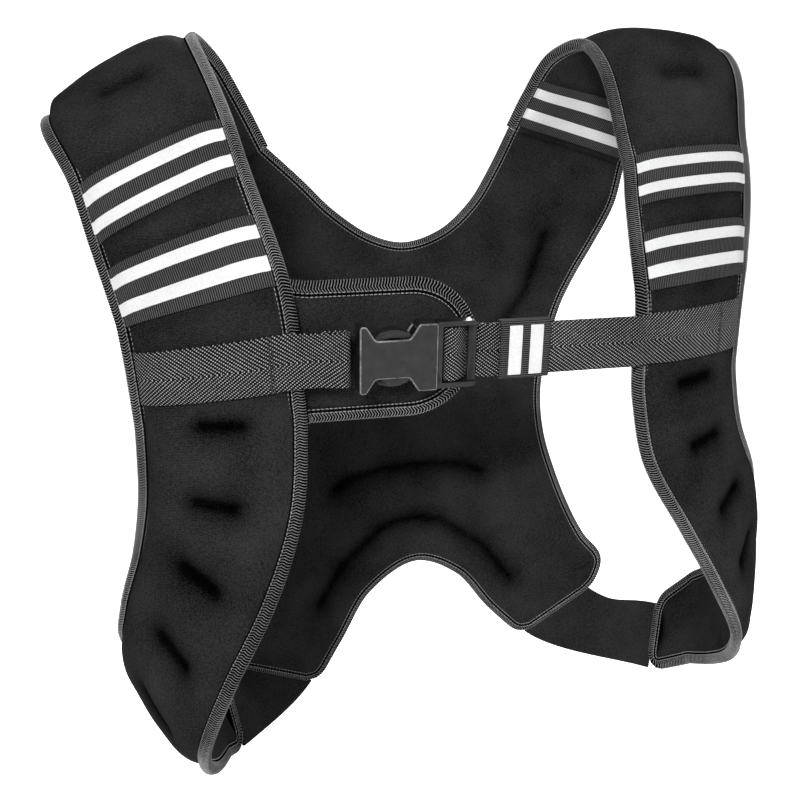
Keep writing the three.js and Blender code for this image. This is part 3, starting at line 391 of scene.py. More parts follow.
# Meshes
def grid_faces(rows, columns, offset=0, flip=False):
    """Faces between the rows of a grid of points."""
    i, j = np.meshgrid(np.arange(rows - 1), np.arange(columns - 1), indexing="ij")
    a = (offset + i * columns + j).ravel()
    quads = np.stack([a, a + columns, a + columns + 1, a + 1], axis=1)
    return quads[:, ::-1] if flip else quads


def tube_faces(index):
    """Faces round a tube, from the point numbers of its rings."""
    turned = np.roll(index, -1, axis=1)
    return np.concatenate([np.stack([a[:-1], a[1:], b[1:], b[:-1]], axis=1)
                           for a, b in zip(index.T, turned.T)])


def add_mesh(name, points, faces, uv=None, smooth=True):
    mesh = bpy.data.meshes.new(name)
    mesh.from_pydata((np.asarray(points) * MM).tolist(), [], [list(map(int, f)) for f in faces])
    if uv is not None:
        layer = mesh.uv_layers.new(name="cloth")
        loops = np.empty(len(mesh.loops), int)
        mesh.loops.foreach_get("vertex_index", loops)
        layer.data.foreach_set("uv", np.asarray(uv, float)[loops].ravel())
    mesh.polygons.foreach_set("use_smooth", [smooth] * len(mesh.polygons))
    piece = bpy.data.objects.new(name, mesh)
    bpy.context.scene.collection.objects.link(piece)
    return piece


def mark_painted_shade(piece, shares):
    """Keeps how much painted shade darkens each point, for the neoprene's colour."""
    layer = piece.data.attributes.new("painted_shade", "FLOAT", "POINT")
    layer.data.foreach_set("value", np.clip(np.asarray(shares, float).ravel(), 0, 1))


def outwards(piece, merge=1e-6):
    """Joins equal corners and points every face outwards."""
    work = bmesh.new()
    work.from_mesh(piece.data)
    bmesh.ops.remove_doubles(work, verts=work.verts, dist=merge)
    bmesh.ops.recalc_face_normals(work, faces=work.faces)
    work.to_mesh(piece.data)
    work.free()
    return piece


def lengths_along(grid, axis):
    """Length along one axis of a grid of points, from its start to each point."""
    steps = np.linalg.norm(np.diff(grid, axis=axis), axis=-1)
    zero = np.zeros_like(np.take(steps, [0], axis=axis))
    return np.cumsum(np.concatenate([zero, steps], axis=axis), axis=axis)


def slab_data(upper, lower, open_side=None):
    """Points, faces and a map in centimetres of a closed slab between two grids."""
    rows, columns = upper.shape[:2]
    count = rows * columns
    points = np.concatenate([upper.reshape(-1, 3), lower.reshape(-1, 3)])
    faces = [grid_faces(rows, columns), grid_faces(rows, columns, count, flip=True)]
    index = np.arange(count).reshape(rows, columns)
    for k, border in enumerate((index[:, 0], index[::-1, -1], index[0, ::-1], index[-1])):
        keep = np.ones(len(border) - 1, bool)
        if open_side is not None and k == 0:
            keep = ~open_side
        a, b = border[:-1][keep], border[1:][keep]
        faces.append(np.stack([b, a, a + count, b + count], axis=1))
    along, across = lengths_along(upper, 0), lengths_along(upper, 1)
    uv = np.stack([along.ravel(), across.ravel()], axis=1) / 10
    return points, np.concatenate(faces), np.concatenate([uv, uv])


def cut_size(grid):
    """Width, length and area in metres of the flat cloth that a grid of points was cut from."""
    along, across = lengths_along(grid, 0)[-1] * MM, lengths_along(grid, 1)[:, -1] * MM
    return (float(across.max()), float(along.max())), float(across.mean() * along.mean())


def add_slab(name, upper, lower, painted_shade=None):
    """A closed piece of cloth between two grids of points, with any painted shade kept on its points."""
    points, faces, uv = slab_data(upper, lower)
    piece = add_mesh(name, points, faces, uv)
    if painted_shade is not None:
        mark_painted_shade(piece, np.concatenate([painted_shade.ravel(), painted_shade.ravel()]))
    return outwards(piece)


def finish_with(piece, kind, **settings):
    """Adds a modifier of one kind to a piece."""
    modifier = piece.modifiers.new(kind.lower(), kind)
    for key, value in settings.items():
        setattr(modifier, key, value)
    return modifier


def bevel(piece, width, segments=2):
    """Softens a piece's sharp edges by a width in millimetres."""
    finish_with(piece, "BEVEL", width=width * MM, segments=segments, limit_method="ANGLE")


def subdivide(piece):
    finish_with(piece, "SUBSURF", levels=1, render_levels=1)


def applied(piece):
    """The piece with its modifiers made real."""
    graph = bpy.context.evaluated_depsgraph_get()
    mesh = bpy.data.meshes.new_from_object(piece.evaluated_get(graph))
    old = piece.data
    piece.modifiers.clear()
    piece.data = mesh
    mesh.name = piece.name
    bpy.data.meshes.remove(old)
    return piece


# Materials
def new_material(name, roughness, **constants):
    material = bpy.data.materials.new(name)
    material.use_nodes = True
    shader = material.node_tree.nodes["Principled BSDF"]
    shader.inputs["Roughness"].default_value = roughness
    for socket, value in constants.items():
        shader.inputs[socket.replace("_", " ")].default_value = value
    return material, material.node_tree, shader


def node(tree, kind, **values):
    """A shader node with its properties and inputs set by name."""
    made = tree.nodes.new(kind)
    for key, value in values.items():
        socket = made.inputs.get(key.replace("_", " "))
        if socket is None:
            setattr(made, key, value)
        else:
            socket.default_value = value
    return made


def link(tree, source, target):
    tree.links.new(source, target)


def paint(tree, shader, mask, low, high, at):
    """Mixes two greys by a mask, between two of its levels, into the base colour."""
    made = tree.nodes.new("ShaderNodeValToRGB")
    for element, colour, place in zip(made.color_ramp.elements, (low, high), at):
        element.position = place
        element.color = (*colour, 1)
    link(tree, mask, made.inputs["Fac"])
    link(tree, made.outputs["Color"], shader.inputs["Base Color"])


def object_place(tree):
    return tree.nodes.new("ShaderNodeTexCoord").outputs["Object"]


def cloth_place(tree):
    """The piece's own map, in centimetres of its cloth."""
    made = tree.nodes.new("ShaderNodeUVMap")
    made.uv_map = "cloth"
    return made.outputs["UV"]


def texture(tree, kind, place, **values):
    """A texture of a kind, read at a place."""
    made = node(tree, f"ShaderNodeTex{kind}", **values)
    link(tree, place, made.inputs["Vector"])
    return made


def new_group(name, inputs, outputs):
    """An empty group of shader nodes with named inputs and outputs."""
    tree = bpy.data.node_groups.new(name, "ShaderNodeTree")
    for socket, (kind, value) in inputs.items():
        made = tree.interface.new_socket(name=socket, in_out="INPUT", socket_type=kind)
        if value is not None:
            made.default_value = value
    for socket, kind in outputs.items():
        tree.interface.new_socket(name=socket, in_out="OUTPUT", socket_type=kind)
    return tree, tree.nodes.new("NodeGroupInput"), tree.nodes.new("NodeGroupOutput")


def math_node(tree, operation, a, b=None, clamp=False):
    """One step of arithmetic on numbers or other nodes' outputs."""
    made = tree.nodes.new("ShaderNodeMath")
    made.operation, made.use_clamp = operation, clamp
    for socket, value in zip(made.inputs, (a, b)):
        if value is None:
            continue
        if isinstance(value, (int, float)):
            socket.default_value = value
        else:
            link(tree, value, socket)
    return made.outputs[0]


def total(tree, *parts):
    """Sum of some values, each times its share."""
    scaled = [math_node(tree, "MULTIPLY", value, share) for value, share in parts]
    made = scaled[0]
    for part in scaled[1:]:
        made = math_node(tree, "ADD", made, part)
    return made


def cloth_grain_group():
    """Grain of a fine knit: a height and a mask of worn, fluffed places."""
    tree, given, result = new_group(
        "knit grain",
        {"Vector": ("NodeSocketVector", None), "Scale": ("NodeSocketFloat", 1.0),
         "Fluff": ("NodeSocketFloat", 0.5)},
        {"Height": "NodeSocketFloat", "Mask": "NodeSocketFloat"})
    place = given.outputs["Vector"]
    fine = texture(tree, "Noise", place, Detail=3.0, Roughness=0.65)
    link(tree, math_node(tree, "MULTIPLY", given.outputs["Scale"], 1100.0), fine.inputs["Scale"])
    broad = texture(tree, "Noise", place, Detail=2.0, Scale=28.0)
    fluff = math_node(tree, "MULTIPLY", broad.outputs["Fac"], given.outputs["Fluff"])
    mask = math_node(tree, "ADD", math_node(tree, "MULTIPLY", fine.outputs["Fac"], 0.75), fluff, True)
    link(tree, fine.outputs["Fac"], result.inputs["Height"])
    link(tree, mask, result.inputs["Mask"])
    return tree


KNIT_GRAIN = cloth_grain_group()


def add_grain(tree, scale, fluff):
    """The knit grain, placed in a material with its own values."""
    grain = tree.nodes.new("ShaderNodeGroup")
    grain.node_tree = KNIT_GRAIN
    grain.inputs["Scale"].default_value = scale
    grain.inputs["Fluff"].default_value = fluff
    link(tree, object_place(tree), grain.inputs["Vector"])
    return grain.outputs


def add_bump(tree, shader, height, strength, distance):
    made = node(tree, "ShaderNodeBump", Strength=strength, Distance=distance)
    link(tree, height, made.inputs["Height"])
    link(tree, made.outputs["Normal"], shader.inputs["Normal"])


def neoprene_material():
    """Black neoprene faced with a fine diagonal knit."""
    material, tree, shader = new_material("black knit neoprene", 0.85, Specular_IOR_Level=0.01)
    grain = add_grain(tree, 1.0, 0.45)
    twill = texture(tree, "Wave", cloth_place(tree), Scale=4.2, Distortion=0.6, Detail=1.0)
    twill.bands_direction = "DIAGONAL"
    specks = texture(tree, "Noise", object_place(tree), Scale=1900.0, Detail=1.0)
    speckled = math_node(tree, "SUBTRACT", specks.outputs["Fac"], 0.5)
    mask = total(tree, (grain["Mask"], 0.9), (twill.outputs["Fac"], 0.06), (speckled, 0.5))
    # painted shade: the neoprene is darker round the tacks, beside the bands and webbing and along the
    # back's channels
    dent_shade = tree.nodes.new("ShaderNodeAttribute")
    dent_shade.attribute_name = "painted_shade"
    left = math_node(tree, "SUBTRACT", 1.0, math_node(tree, "MULTIPLY", dent_shade.outputs["Fac"], 0.55))
    mask = math_node(tree, "MULTIPLY", mask, left, True)
    paint(tree, shader, mask, (0.0006, 0.0006, 0.0007), (0.052, 0.052, 0.0526), (0.3, 0.95))
    add_bump(tree, shader, total(tree, (grain["Height"], 1.0), (twill.outputs["Fac"], 0.15)), 0.7, 0.0005)
    return material


def thread_material(name, low, high, gloss=0.12):
    """Fluffy sewing thread, between a dark and a light grey."""
    material, tree, shader = new_material(name, 0.6, Specular_IOR_Level=gloss)
    grain = add_grain(tree, 1.3, 0.3)
    paint(tree, shader, grain["Mask"], low, high, (0.3, 0.85))
    add_bump(tree, shader, grain["Height"], 0.4, 0.0003)
    return material


def ribbed_material():
    """Black elastic with fine ribs across its length."""
    material, tree, shader = new_material("black ribbed elastic", 0.7, Specular_IOR_Level=0.08)
    ribs = texture(tree, "Wave", cloth_place(tree), Scale=2.7, Distortion=0.8, Detail=1.0)
    ribs.bands_direction = "X"
    mask = total(tree, (ribs.outputs["Fac"], 0.6), (add_grain(tree, 0.8, 0.5)["Mask"], 0.4))
    paint(tree, shader, mask, (0.003, 0.003, 0.0031), (0.1, 0.1, 0.101), (0.36, 0.85))
    add_bump(tree, shader, mask, 0.7, 0.0006)
    return material


def reflective_material():
    """White reflective tape with a faint honeycomb of beads."""
    material, tree, shader = new_material("white reflective tape", 0.42, Coat_Weight=0.15)
    place = object_place(tree)
    beads = texture(tree, "Voronoi", place, Scale=900.0).outputs["Distance"]
    dust = texture(tree, "Noise", place, Scale=60.0, Detail=3.0).outputs["Fac"]
    mask = total(tree, (beads, 0.4), (dust, 0.6))
    paint(tree, shader, mask, (0.8, 0.8, 0.8), (0.6, 0.6, 0.61), (0.2, 1.0))
    add_bump(tree, shader, beads, 0.08, 0.0002)
    return material


def herringbone_material():
    """Charcoal webbing: two diagonal twills that meet on its middle line."""
    material, tree, shader = new_material("charcoal herringbone webbing", 0.6, Specular_IOR_Level=0.1)
    axes = tree.nodes.new("ShaderNodeSeparateXYZ")
    link(tree, cloth_place(tree), axes.inputs["Vector"])
    # Y is centimetres from the middle line, X centimetres along
    along, fold = axes.outputs["X"], math_node(tree, "ABSOLUTE", axes.outputs["Y"])

    def twill(operation, lean, per_centimetre):
        diagonal = math_node(tree, operation, math_node(tree, "MULTIPLY", along, lean), fold)
        return math_node(tree, "SINE", math_node(tree, "MULTIPLY", diagonal, 2 * math.pi * per_centimetre))
    rows, cross = twill("ADD", 0.72, 5.2), twill("SUBTRACT", 0.9, 6.4)
    grain = add_grain(tree, 0.9, 0.4)
    mask = math_node(tree, "ADD", total(tree, (rows, 0.3), (cross, 0.2), (grain["Mask"], 0.5)), 0.2)
    paint(tree, shader, mask, (0.0012, 0.0012, 0.0013), (0.48, 0.48, 0.485), (0.6, 1.03))
    add_bump(tree, shader, mask, 0.7, 0.0006)
    return material


def plastic_material():
    """Satin black acetal with a fine moulded grain."""
    material, tree, shader = new_material("satin black plastic", 0.3, Specular_IOR_Level=0.5)
    place = object_place(tree)
    grain = texture(tree, "Noise", place, Scale=2600.0, Detail=2.0).outputs["Fac"]
    scuffs = texture(tree, "Noise", place, Scale=180.0, Detail=4.0, Roughness=0.7).outputs["Fac"]
    paint(tree, shader, scuffs, (0.006, 0.006, 0.0062), (0.022, 0.022, 0.0225), (0.35, 0.75))
    worn = node(tree, "ShaderNodeMapRange", To_Min=0.24, To_Max=0.4)
    link(tree, scuffs, worn.inputs["Value"])
    link(tree, worn.outputs["Result"], shader.inputs["Roughness"])
    add_bump(tree, shader, grain, 0.3, 0.0002)
    return material


def edge_highlight_material():
    """The buckle's rounded edges, paler with a painted highlight."""
    material, tree, shader = new_material("plastic edge with painted highlight", 0.26, Specular_IOR_Level=0.6)
    # painted highlight on the bevels, made patchy by a noise
    highlight_patches = texture(tree, "Noise", object_place(tree), Scale=220.0, Detail=4.0, Roughness=0.7)
    paint(tree, shader, highlight_patches.outputs["Fac"], (0.03, 0.03, 0.0305), (0.3, 0.3, 0.305), (0.3, 0.75))
    add_bump(tree, shader, highlight_patches.outputs["Fac"], 0.1, 0.0002)
    return material


NEOPRENE = neoprene_material()
THREAD = thread_material("grey overlock thread", (0.04, 0.04, 0.0405), (0.62, 0.62, 0.625))
TACK_THREAD = thread_material("dark tack thread", (0.008, 0.008, 0.008), (0.09, 0.09, 0.092))
# black edge cloth, made darker than the neoprene as painted shade under the thread loops
EDGE_CLOTH_AND_SHADE = thread_material("black edge cloth with painted shade under the thread", (0.002, 0.002, 0.002),
                             (0.008, 0.008, 0.0085), 0.0)
ELASTIC = ribbed_material()
REFLECTIVE = reflective_material()
WEBBING = herringbone_material()
PLASTIC = plastic_material()
EDGE_HIGHLIGHT = edge_highlight_material()


def dress(piece, material, slot, *nodes, padded=None):
    """Gives a piece its material and its body, and hides the solids that it stands for."""
    parts = list(material) if isinstance(material, tuple) else [material]
    if list(piece.data.materials) != parts:
        piece.data.materials.clear()
        for part in parts:
            piece.data.materials.append(part)
    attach(piece, "root")
    if nodes:
        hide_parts(*nodes)
    return piece


# Padded front straps
def strap_pad(strap):
    runs = strap.run(np.linspace(SEAM_GAP / 2, strap.length, round(strap.length / PAD_STEP)))
    # the seam allowance reaches a little way under the back
    tucked = strap.frame(np.array([0.0]))[1] * SEAM_TUCK
    faces = []
    for inside in (False, True):
        face = strap.on(runs, PAD_SHARES, 0.0, inside)
        faces.append(np.concatenate([face[:1] - tucked, face]))
    # painted shade round the tacks and beside the bands and webbing
    dent_shade = strap.painted_shade(runs, PAD_SHARES)
    return add_slab(f"strap_pad_{strap.side}", *faces, np.concatenate([dent_shade[:1], dent_shade]))


for strap in STRAPS:
    pad = strap_pad(strap)
    subdivide(pad)
    dress(pad, NEOPRENE, "neoprene", f"front_strap_{strap.side}", padded=0.55)


# Overlocked edges
def tube_along(name, points, normals, outs, profile):
    """A closed tube with a profile of (outwards, up) pairs."""
    rings = np.array([[p + o * u + n * w for u, w in profile]
                      for p, n, o in zip(points, normals, outs)])
    rows, sides = rings.shape[:2]
    index = np.arange(rows * sides).reshape(rows, sides)
    faces = [*tube_faces(index), index[0][::-1], index[-1]]
    turns = np.arange(sides) / sides
    uv = np.stack(np.meshgrid(path_lengths(points) / 10, turns, indexing="ij"), axis=-1)
    return outwards(add_mesh(name, rings.reshape(-1, 3), faces, uv.reshape(-1, 2)))


def edge_profile(w):
    """Half round edge: flat against the shell, round outside."""
    t = BINDING_THICKNESS / 2
    turn = np.radians(np.linspace(90, -90, 11))
    arc = [(CLEARANCE + 0.42 * w + 0.5 * w * math.cos(a), (t - 0.35) * math.sin(a)) for a in turn]
    return [(-1.2, -EDGE_THICKNESS / 2 - 0.1), (-1.2, EDGE_THICKNESS / 2 + 0.1)] + arc


def outward_ways(points, normals, inwards):
    """Ways out of a sewn edge, square to its path."""
    along = np.gradient(points, axis=0)
    return unit(np.cross(unit(along), normals) * inwards)


def even_path(points, normals, step):
    """Places at even steps along a path."""
    along = path_lengths(points)
    count = max(2, round(along[-1] / step) + 1)
    at = np.linspace(0, along[-1], count)
    return (np.stack([np.interp(at, along, points[:, k]) for k in range(3)], axis=1),
            unit(np.stack([np.interp(at, along, normals[:, k]) for k in range(3)], axis=1)))


def geometry_tree(name, numbers):
    """An empty Geometry Nodes tree with a mesh, numbers and a material as inputs."""
    tree = bpy.data.node_groups.new(name, "GeometryNodeTree")
    tree.interface.new_socket(name="Geometry", in_out="INPUT", socket_type="NodeSocketGeometry")
    for socket in numbers:
        tree.interface.new_socket(name=socket, in_out="INPUT", socket_type="NodeSocketFloat")
    tree.interface.new_socket(name="Material", in_out="INPUT", socket_type="NodeSocketMaterial")
    tree.interface.new_socket(name="Geometry", in_out="OUTPUT", socket_type="NodeSocketGeometry")
    return tree, tree.nodes.new("NodeGroupInput"), tree.nodes.new("NodeGroupOutput")


def turned_places(tree):
    """Rotation that lays an instance along its place's normal and out directions."""
    turn = tree.nodes.new("FunctionNodeAxesToRotation")
    turn.primary_axis, turn.secondary_axis = "Z", "X"
    for socket, name in (("Primary Axis", "up"), ("Secondary Axis", "out")):
        read = tree.nodes.new("GeometryNodeInputNamedAttribute")
        read.data_type = "FLOAT_VECTOR"
        read.inputs["Name"].default_value = name
        link(tree, read.outputs["Attribute"], turn.inputs[socket])
    return turn.outputs["Rotation"]


def spread_over(tree, given, result, instance):
    """Instances on every point, made real, with the material set."""
    spread = tree.nodes.new("GeometryNodeInstanceOnPoints")
    link(tree, given.outputs["Geometry"], spread.inputs["Points"])
    link(tree, instance, spread.inputs["Instance"])
    link(tree, turned_places(tree), spread.inputs["Rotation"])
    real = tree.nodes.new("GeometryNodeRealizeInstances")
    link(tree, spread.outputs["Instances"], real.inputs["Geometry"])
    shade = tree.nodes.new("GeometryNodeSetShadeSmooth")
    link(tree, real.outputs["Geometry"], shade.inputs["Geometry"])
    painted = tree.nodes.new("GeometryNodeSetMaterial")
    link(tree, shade.outputs["Geometry"], painted.inputs["Geometry"])
    link(tree, given.outputs["Material"], painted.inputs["Material"])
    link(tree, painted.outputs["Geometry"], result.inputs["Geometry"])


def vector_from(tree, *parts):
    """A vector from three parts, each a number or another node's output."""
    made = tree.nodes.new("ShaderNodeCombineXYZ")
    for socket, part in zip(made.inputs, parts):
        if isinstance(part, (int, float)):
            socket.default_value = part
        else:
            link(tree, part, socket)
    return made.outputs[0]


def overlock_tree():
    """Slanted thread loops over an edge, front and back, one pair at each point."""
    tree, given, result = geometry_tree("overlock thread", ["Thread", "Reach", "Height", "Slant"])
    size = given.outputs
    joined = tree.nodes.new("GeometryNodeJoinGeometry")
    # shares of reach, slant and height at the ends and handles of each leg of a loop
    legs = [((0.1, -0.5, 0.84), (0.2, -0.3, 1.0), (0.36, 0.3, 1.07), (0.48, 0.5, 1.06)),
            ((0.48, 0.5, 1.06), (0.76, 0.2, 1.04), (1.0, -0.3, 0.8), (1.02, -0.5, 0.0))]
    for side, leg in ((side, leg) for side in (1, -1) for leg in legs):
        arc = tree.nodes.new("GeometryNodeCurvePrimitiveBezierSegment")
        arc.inputs["Resolution"].default_value = 3
        for socket, (reach, slant, height) in zip(("Start", "Start Handle", "End Handle", "End"), leg):
            link(tree, vector_from(tree, math_node(tree, "MULTIPLY", size["Reach"], reach),
                                   math_node(tree, "MULTIPLY", size["Slant"], slant * side),
                                   math_node(tree, "MULTIPLY", size["Height"], height * side)),
                 arc.inputs[socket])
        ring = tree.nodes.new("GeometryNodeCurvePrimitiveCircle")
        ring.inputs["Resolution"].default_value = 3
        link(tree, math_node(tree, "MULTIPLY", size["Thread"], 0.5), ring.inputs["Radius"])
        thread = tree.nodes.new("GeometryNodeCurveToMesh")
        link(tree, arc.outputs["Curve"], thread.inputs["Curve"])
        link(tree, ring.outputs["Curve"], thread.inputs["Profile Curve"])
        link(tree, thread.outputs["Mesh"], joined.inputs["Geometry"])
    spread_over(tree, given, result, joined.outputs["Geometry"])
    return tree


def chain_tree():
    """One short link of a chain stitch at each point."""
    tree, given, result = geometry_tree("chain stitch", ["Link", "Thread"])
    ball = tree.nodes.new("GeometryNodeMeshIcoSphere")
    ball.inputs["Subdivisions"].default_value = 1
    ball.inputs["Radius"].default_value = 0.5
    shape = tree.nodes.new("GeometryNodeTransform")
    link(tree, ball.outputs["Mesh"], shape.inputs["Geometry"])
    link(tree, vector_from(tree, given.outputs["Thread"], given.outputs["Link"],
                           given.outputs["Thread"]), shape.inputs["Scale"])
    spread_over(tree, given, result, shape.outputs["Geometry"])
    return tree


def set_inputs(modifier, tree, values):
    """Sets a Geometry Nodes modifier's inputs by their identifiers."""
    modifier.node_group = tree
    for item in tree.interface.items_tree:
        if item.in_out == "INPUT" and item.name in values:
            modifier[item.identifier] = values[item.name]


def sew(name, tree, rows, thread, **sizes):
    """Stitches along rows of places with their up and out ways, as one plain mesh."""
    points, ups, outs = (np.concatenate(part) for part in zip(*rows))
    mesh = bpy.data.meshes.new(name)
    mesh.from_pydata((points * MM).tolist(), [], [])
    for attribute, vectors in (("up", ups), ("out", outs)):
        layer = mesh.attributes.new(attribute, "FLOAT_VECTOR", "POINT")
        layer.data.foreach_set("vector", vectors.ravel())
    piece = bpy.data.objects.new(name, mesh)
    bpy.context.scene.collection.objects.link(piece)
    modifier = piece.modifiers.new("stitches", "NODES")
    set_inputs(modifier, tree, {"Material": thread} | {key: size * MM for key, size in sizes.items()})
    dress(applied(piece), thread, "overlock_binding")


OVERLOCK = overlock_tree()
CHAIN = chain_tree()
def add_binding(solid, stem, points, normals, inwards, width=BINDING_WIDTH):
    """An overlocked edge: its cloth, its thread and the chain stitches beside it."""
    path = even_path(points, normals, EDGE_STEP)
    body = tube_along(f"{stem}_edge", *path, outward_ways(*path, inwards), edge_profile(width))
    dress(body, EDGE_CLOTH_AND_SHADE, "overlock_binding", solid)
    path = even_path(*path, OVERLOCK_PITCH)
    sew(f"{stem}_overlock_thread", OVERLOCK, [(*path, outward_ways(*path, inwards))], THREAD,
        Thread=OVERLOCK_THREAD, Reach=width + 0.1, Height=OVERLOCK_HEIGHT, Slant=OVERLOCK_SLANT)
    places, ups = even_path(*path, CHAIN_PITCH)
    outs = outward_ways(places, ups, inwards)
    # one chain beside the binding and one on its inner edge
    rows = [(places + outs * out + ups * side * (EDGE_THICKNESS / 2 + rise), ups * side, outs)
            for side in (1, -1) for out, rise in ((-1.5, 0.2), (0.5, 0.45))]
    sew(f"{stem}_chain_stitch", CHAIN, rows, THREAD, Link=CHAIN_PITCH, Thread=CHAIN_THREAD)


def strap_edge_path(strap):
    """Down a strap's inner edge, round its end and up its outer edge."""
    runs = strap.run(np.linspace(SEAM_GAP / 2, strap.length, 320))
    normal = strap.frame(runs)[2]
    shares = np.linspace(0, 1, 24)[1:-1]
    across = np.concatenate([strap.edge(np.array([1.0]), v) for v in shares])
    end_normal = np.repeat(normal[-1:], len(shares), axis=0)
    points = np.concatenate([strap.edge(runs, 0), across, strap.edge(runs, 1)[::-1]])
    return points, np.concatenate([normal, end_normal, normal[::-1]])


for strap in STRAPS:
    points, normals = strap_edge_path(strap)
    add_binding(f"strap_binding_{strap.side}", f"strap_{strap.side}", points, normals, strap.sign)


# Bands with reflective stripes
def add_band(strap, name, at, inside):
    """Elastic stretched over a strap, with two stripes of tape."""
    solid = f"{name}_{strap.side}"
    slant = UPPER_LEFT_SLANT if solid == "upper_band_left" else 0.0
    top = CLEARANCE + BAND_THICKNESS

    def lifted(start, width, count, height):
        rows = strap.place(at) + np.linspace(start, start + width, count)
        columns = [strap.on(strap.run(rows + slant * (v - 0.45)), v, height, inside)
                   for v in np.linspace(0.0, 1.0, 49)]
        return np.concatenate([np.swapaxes(column, 0, 1) for column in columns])

    cloth = lifted(0, BAND_WIDTH, 15, top)
    band = add_slab(f"{solid}_elastic", cloth, lifted(0, BAND_WIDTH, 15, CLEARANCE / 2))
    bevel(band, 0.4)
    dress(band, ELASTIC, "elastic", solid)
    flat, area = cut_size(cloth)
    for k, start in enumerate((STRIPE_MARGIN, BAND_WIDTH - STRIPE_MARGIN - STRIPE_WIDTH)):
        stripe = add_slab(f"{solid}_tape_{k + 1}", lifted(start, STRIPE_WIDTH, 6, top + TAPE_RISE),
                          lifted(start, STRIPE_WIDTH, 6, top - TAPE_SUNK))
        bevel(stripe, 0.18)
        dress(stripe, REFLECTIVE, "reflective_tape", f"{solid}_stripe_{k + 1}")


for strap in STRAPS:
    for band_name, band_at, band_inside in BANDS:
        if not band_inside or strap is RIGHT:
            add_band(strap, band_name, band_at, band_inside)


# Tacks that quilt the straps' padding
def add_tacks(strap):
    rows = []
    for at, share, length, slope, _ in TACKS:
        aside = np.linspace(-length / 2, length / 2, round(length / TACK_PITCH))
        run = strap.run(strap.place(at) + slope * aside)
        line = np.array([strap.on(r, share + a / width, 0.15)[0, 0]
                         for r, a, width in zip(run, aside, strap.width(run))])
        normal = strap.frame(run)[2]
        rows.append((line, normal, unit(np.cross(np.gradient(line, axis=0), normal))))
    sew(f"strap_{strap.side}_tack_stitches", CHAIN, rows, TACK_THREAD, Link=TACK_PITCH,
        Thread=TACK_THICKNESS)


for strap in STRAPS:
    add_tacks(strap)


# Padded back
class BackHalf:
    """One half of the back, hung from the shoulder seam of its strap."""

    def __init__(self, strap):
        self.strap, self.sign = strap, strap.sign
        start = np.array([0.0])
        _, forward, normal, _ = strap.frame(start)
        self.seam_normal = normal[0]
        inner, outer = (strap.edge(start, v)[0] - forward[0] * SEAM_GAP / 2 for v in (0, 1))
        first = (0.0, self.sign * inner[0], inner[1], inner[2], self.sign * outer[0], outer[1],
                 outer[2])
        self.rows = [first] + [self.sized(row) for row in BACK_HALF]
        runs = [row[0] for row in self.rows]
        turn, rise = runs.index(NECK_END), runs.index(ARCH_START)
        self.neck = self.rows[:turn + 1] + [self.carried(turn, -1)]
        self.arch = [self.carried(rise, 1)] + self.rows[rise:]
        self.between = self.rows[turn:rise + 1]

    def sized(self, row):
        """A section in millimetres, leant and swayed as this half hangs."""
        run, *ends, lean, sway = row
        made = [run]
        for x, y, z in (ends[:3], ends[3:]):
            x = SHOULDER_SPREAD * x
            made += [x + self.sign * SHOULDER_SPREAD * lean, BACK_DEPTH * y,
                     CREST_RISE + DROP * z + self.sign * sway * x]
        return tuple(made)

    def carried(self, turn, step):
        """The row beside a turn of the neckline or the arch, carried into the other half."""
        here, beside = self.rows[turn], self.rows[turn + step]
        return (2 * here[0] - beside[0], 2 * here[1] - beside[1], *beside[2:])

    def end(self, name, run):
        """Places of the sections' inner or outer ends."""
        def read(rows):
            return np.stack([(self.sign if axis == "X" else 1) * through(
                rows, BACK_COLUMNS, name + axis, run) for axis in "XYZ"], axis=-1)
        if name == "outer":
            return read(self.rows)
        run = np.asarray(run, float)
        low, high = (run < NECK_END - 1e-6)[:, None], (run > ARCH_START + 1e-6)[:, None]
        return np.where(low, read(self.neck), np.where(high, read(self.arch), read(self.between)))

    def sections(self, run):
        """Inner ends, outer ends and the way out of the back at some runs."""
        inner, outer = self.end("inner", run), self.end("outer", run)
        flat = smoothstep(run, 0, NECK_END)[:, None]
        normal = unit(self.seam_normal * (1 - flat) + np.array([0.0, 1.0, 0.0]) * flat)
        # the lower corners are rounded where the lobe ends
        left = np.clip(END_ROUND - (1 - run) * BACK_LENGTH, 0, END_ROUND)
        cut = (END_ROUND - np.sqrt(END_ROUND ** 2 - left ** 2))[:, None]
        way = unit(outer - inner)
        return inner + way * cut, outer - way * cut, normal


HALVES = [BackHalf(strap) for strap in STRAPS]
BACK_ROWS = np.unique(np.concatenate([np.linspace(0, NECK_END, 40),
                                      np.linspace(NECK_END, ARCH_START, 76),
                                      np.linspace(ARCH_START, 1, 38)]).round(9))
ON_MIDDLE = (BACK_ROWS > NECK_END - 1e-6) & (BACK_ROWS < ARCH_START + 1e-6)


def back_borders():
    """Lines of all the back's sewn edges, from which its padding swells."""
    borders = []
    for half in HALVES:
        inner, outer, _ = half.sections(BACK_ROWS)
        borders += [outer[::2], inner[BACK_ROWS < NECK_END + 1e-6], inner[BACK_ROWS > ARCH_START - 1e-6],
                    np.stack([inner[-1], outer[-1]])]
    return borders


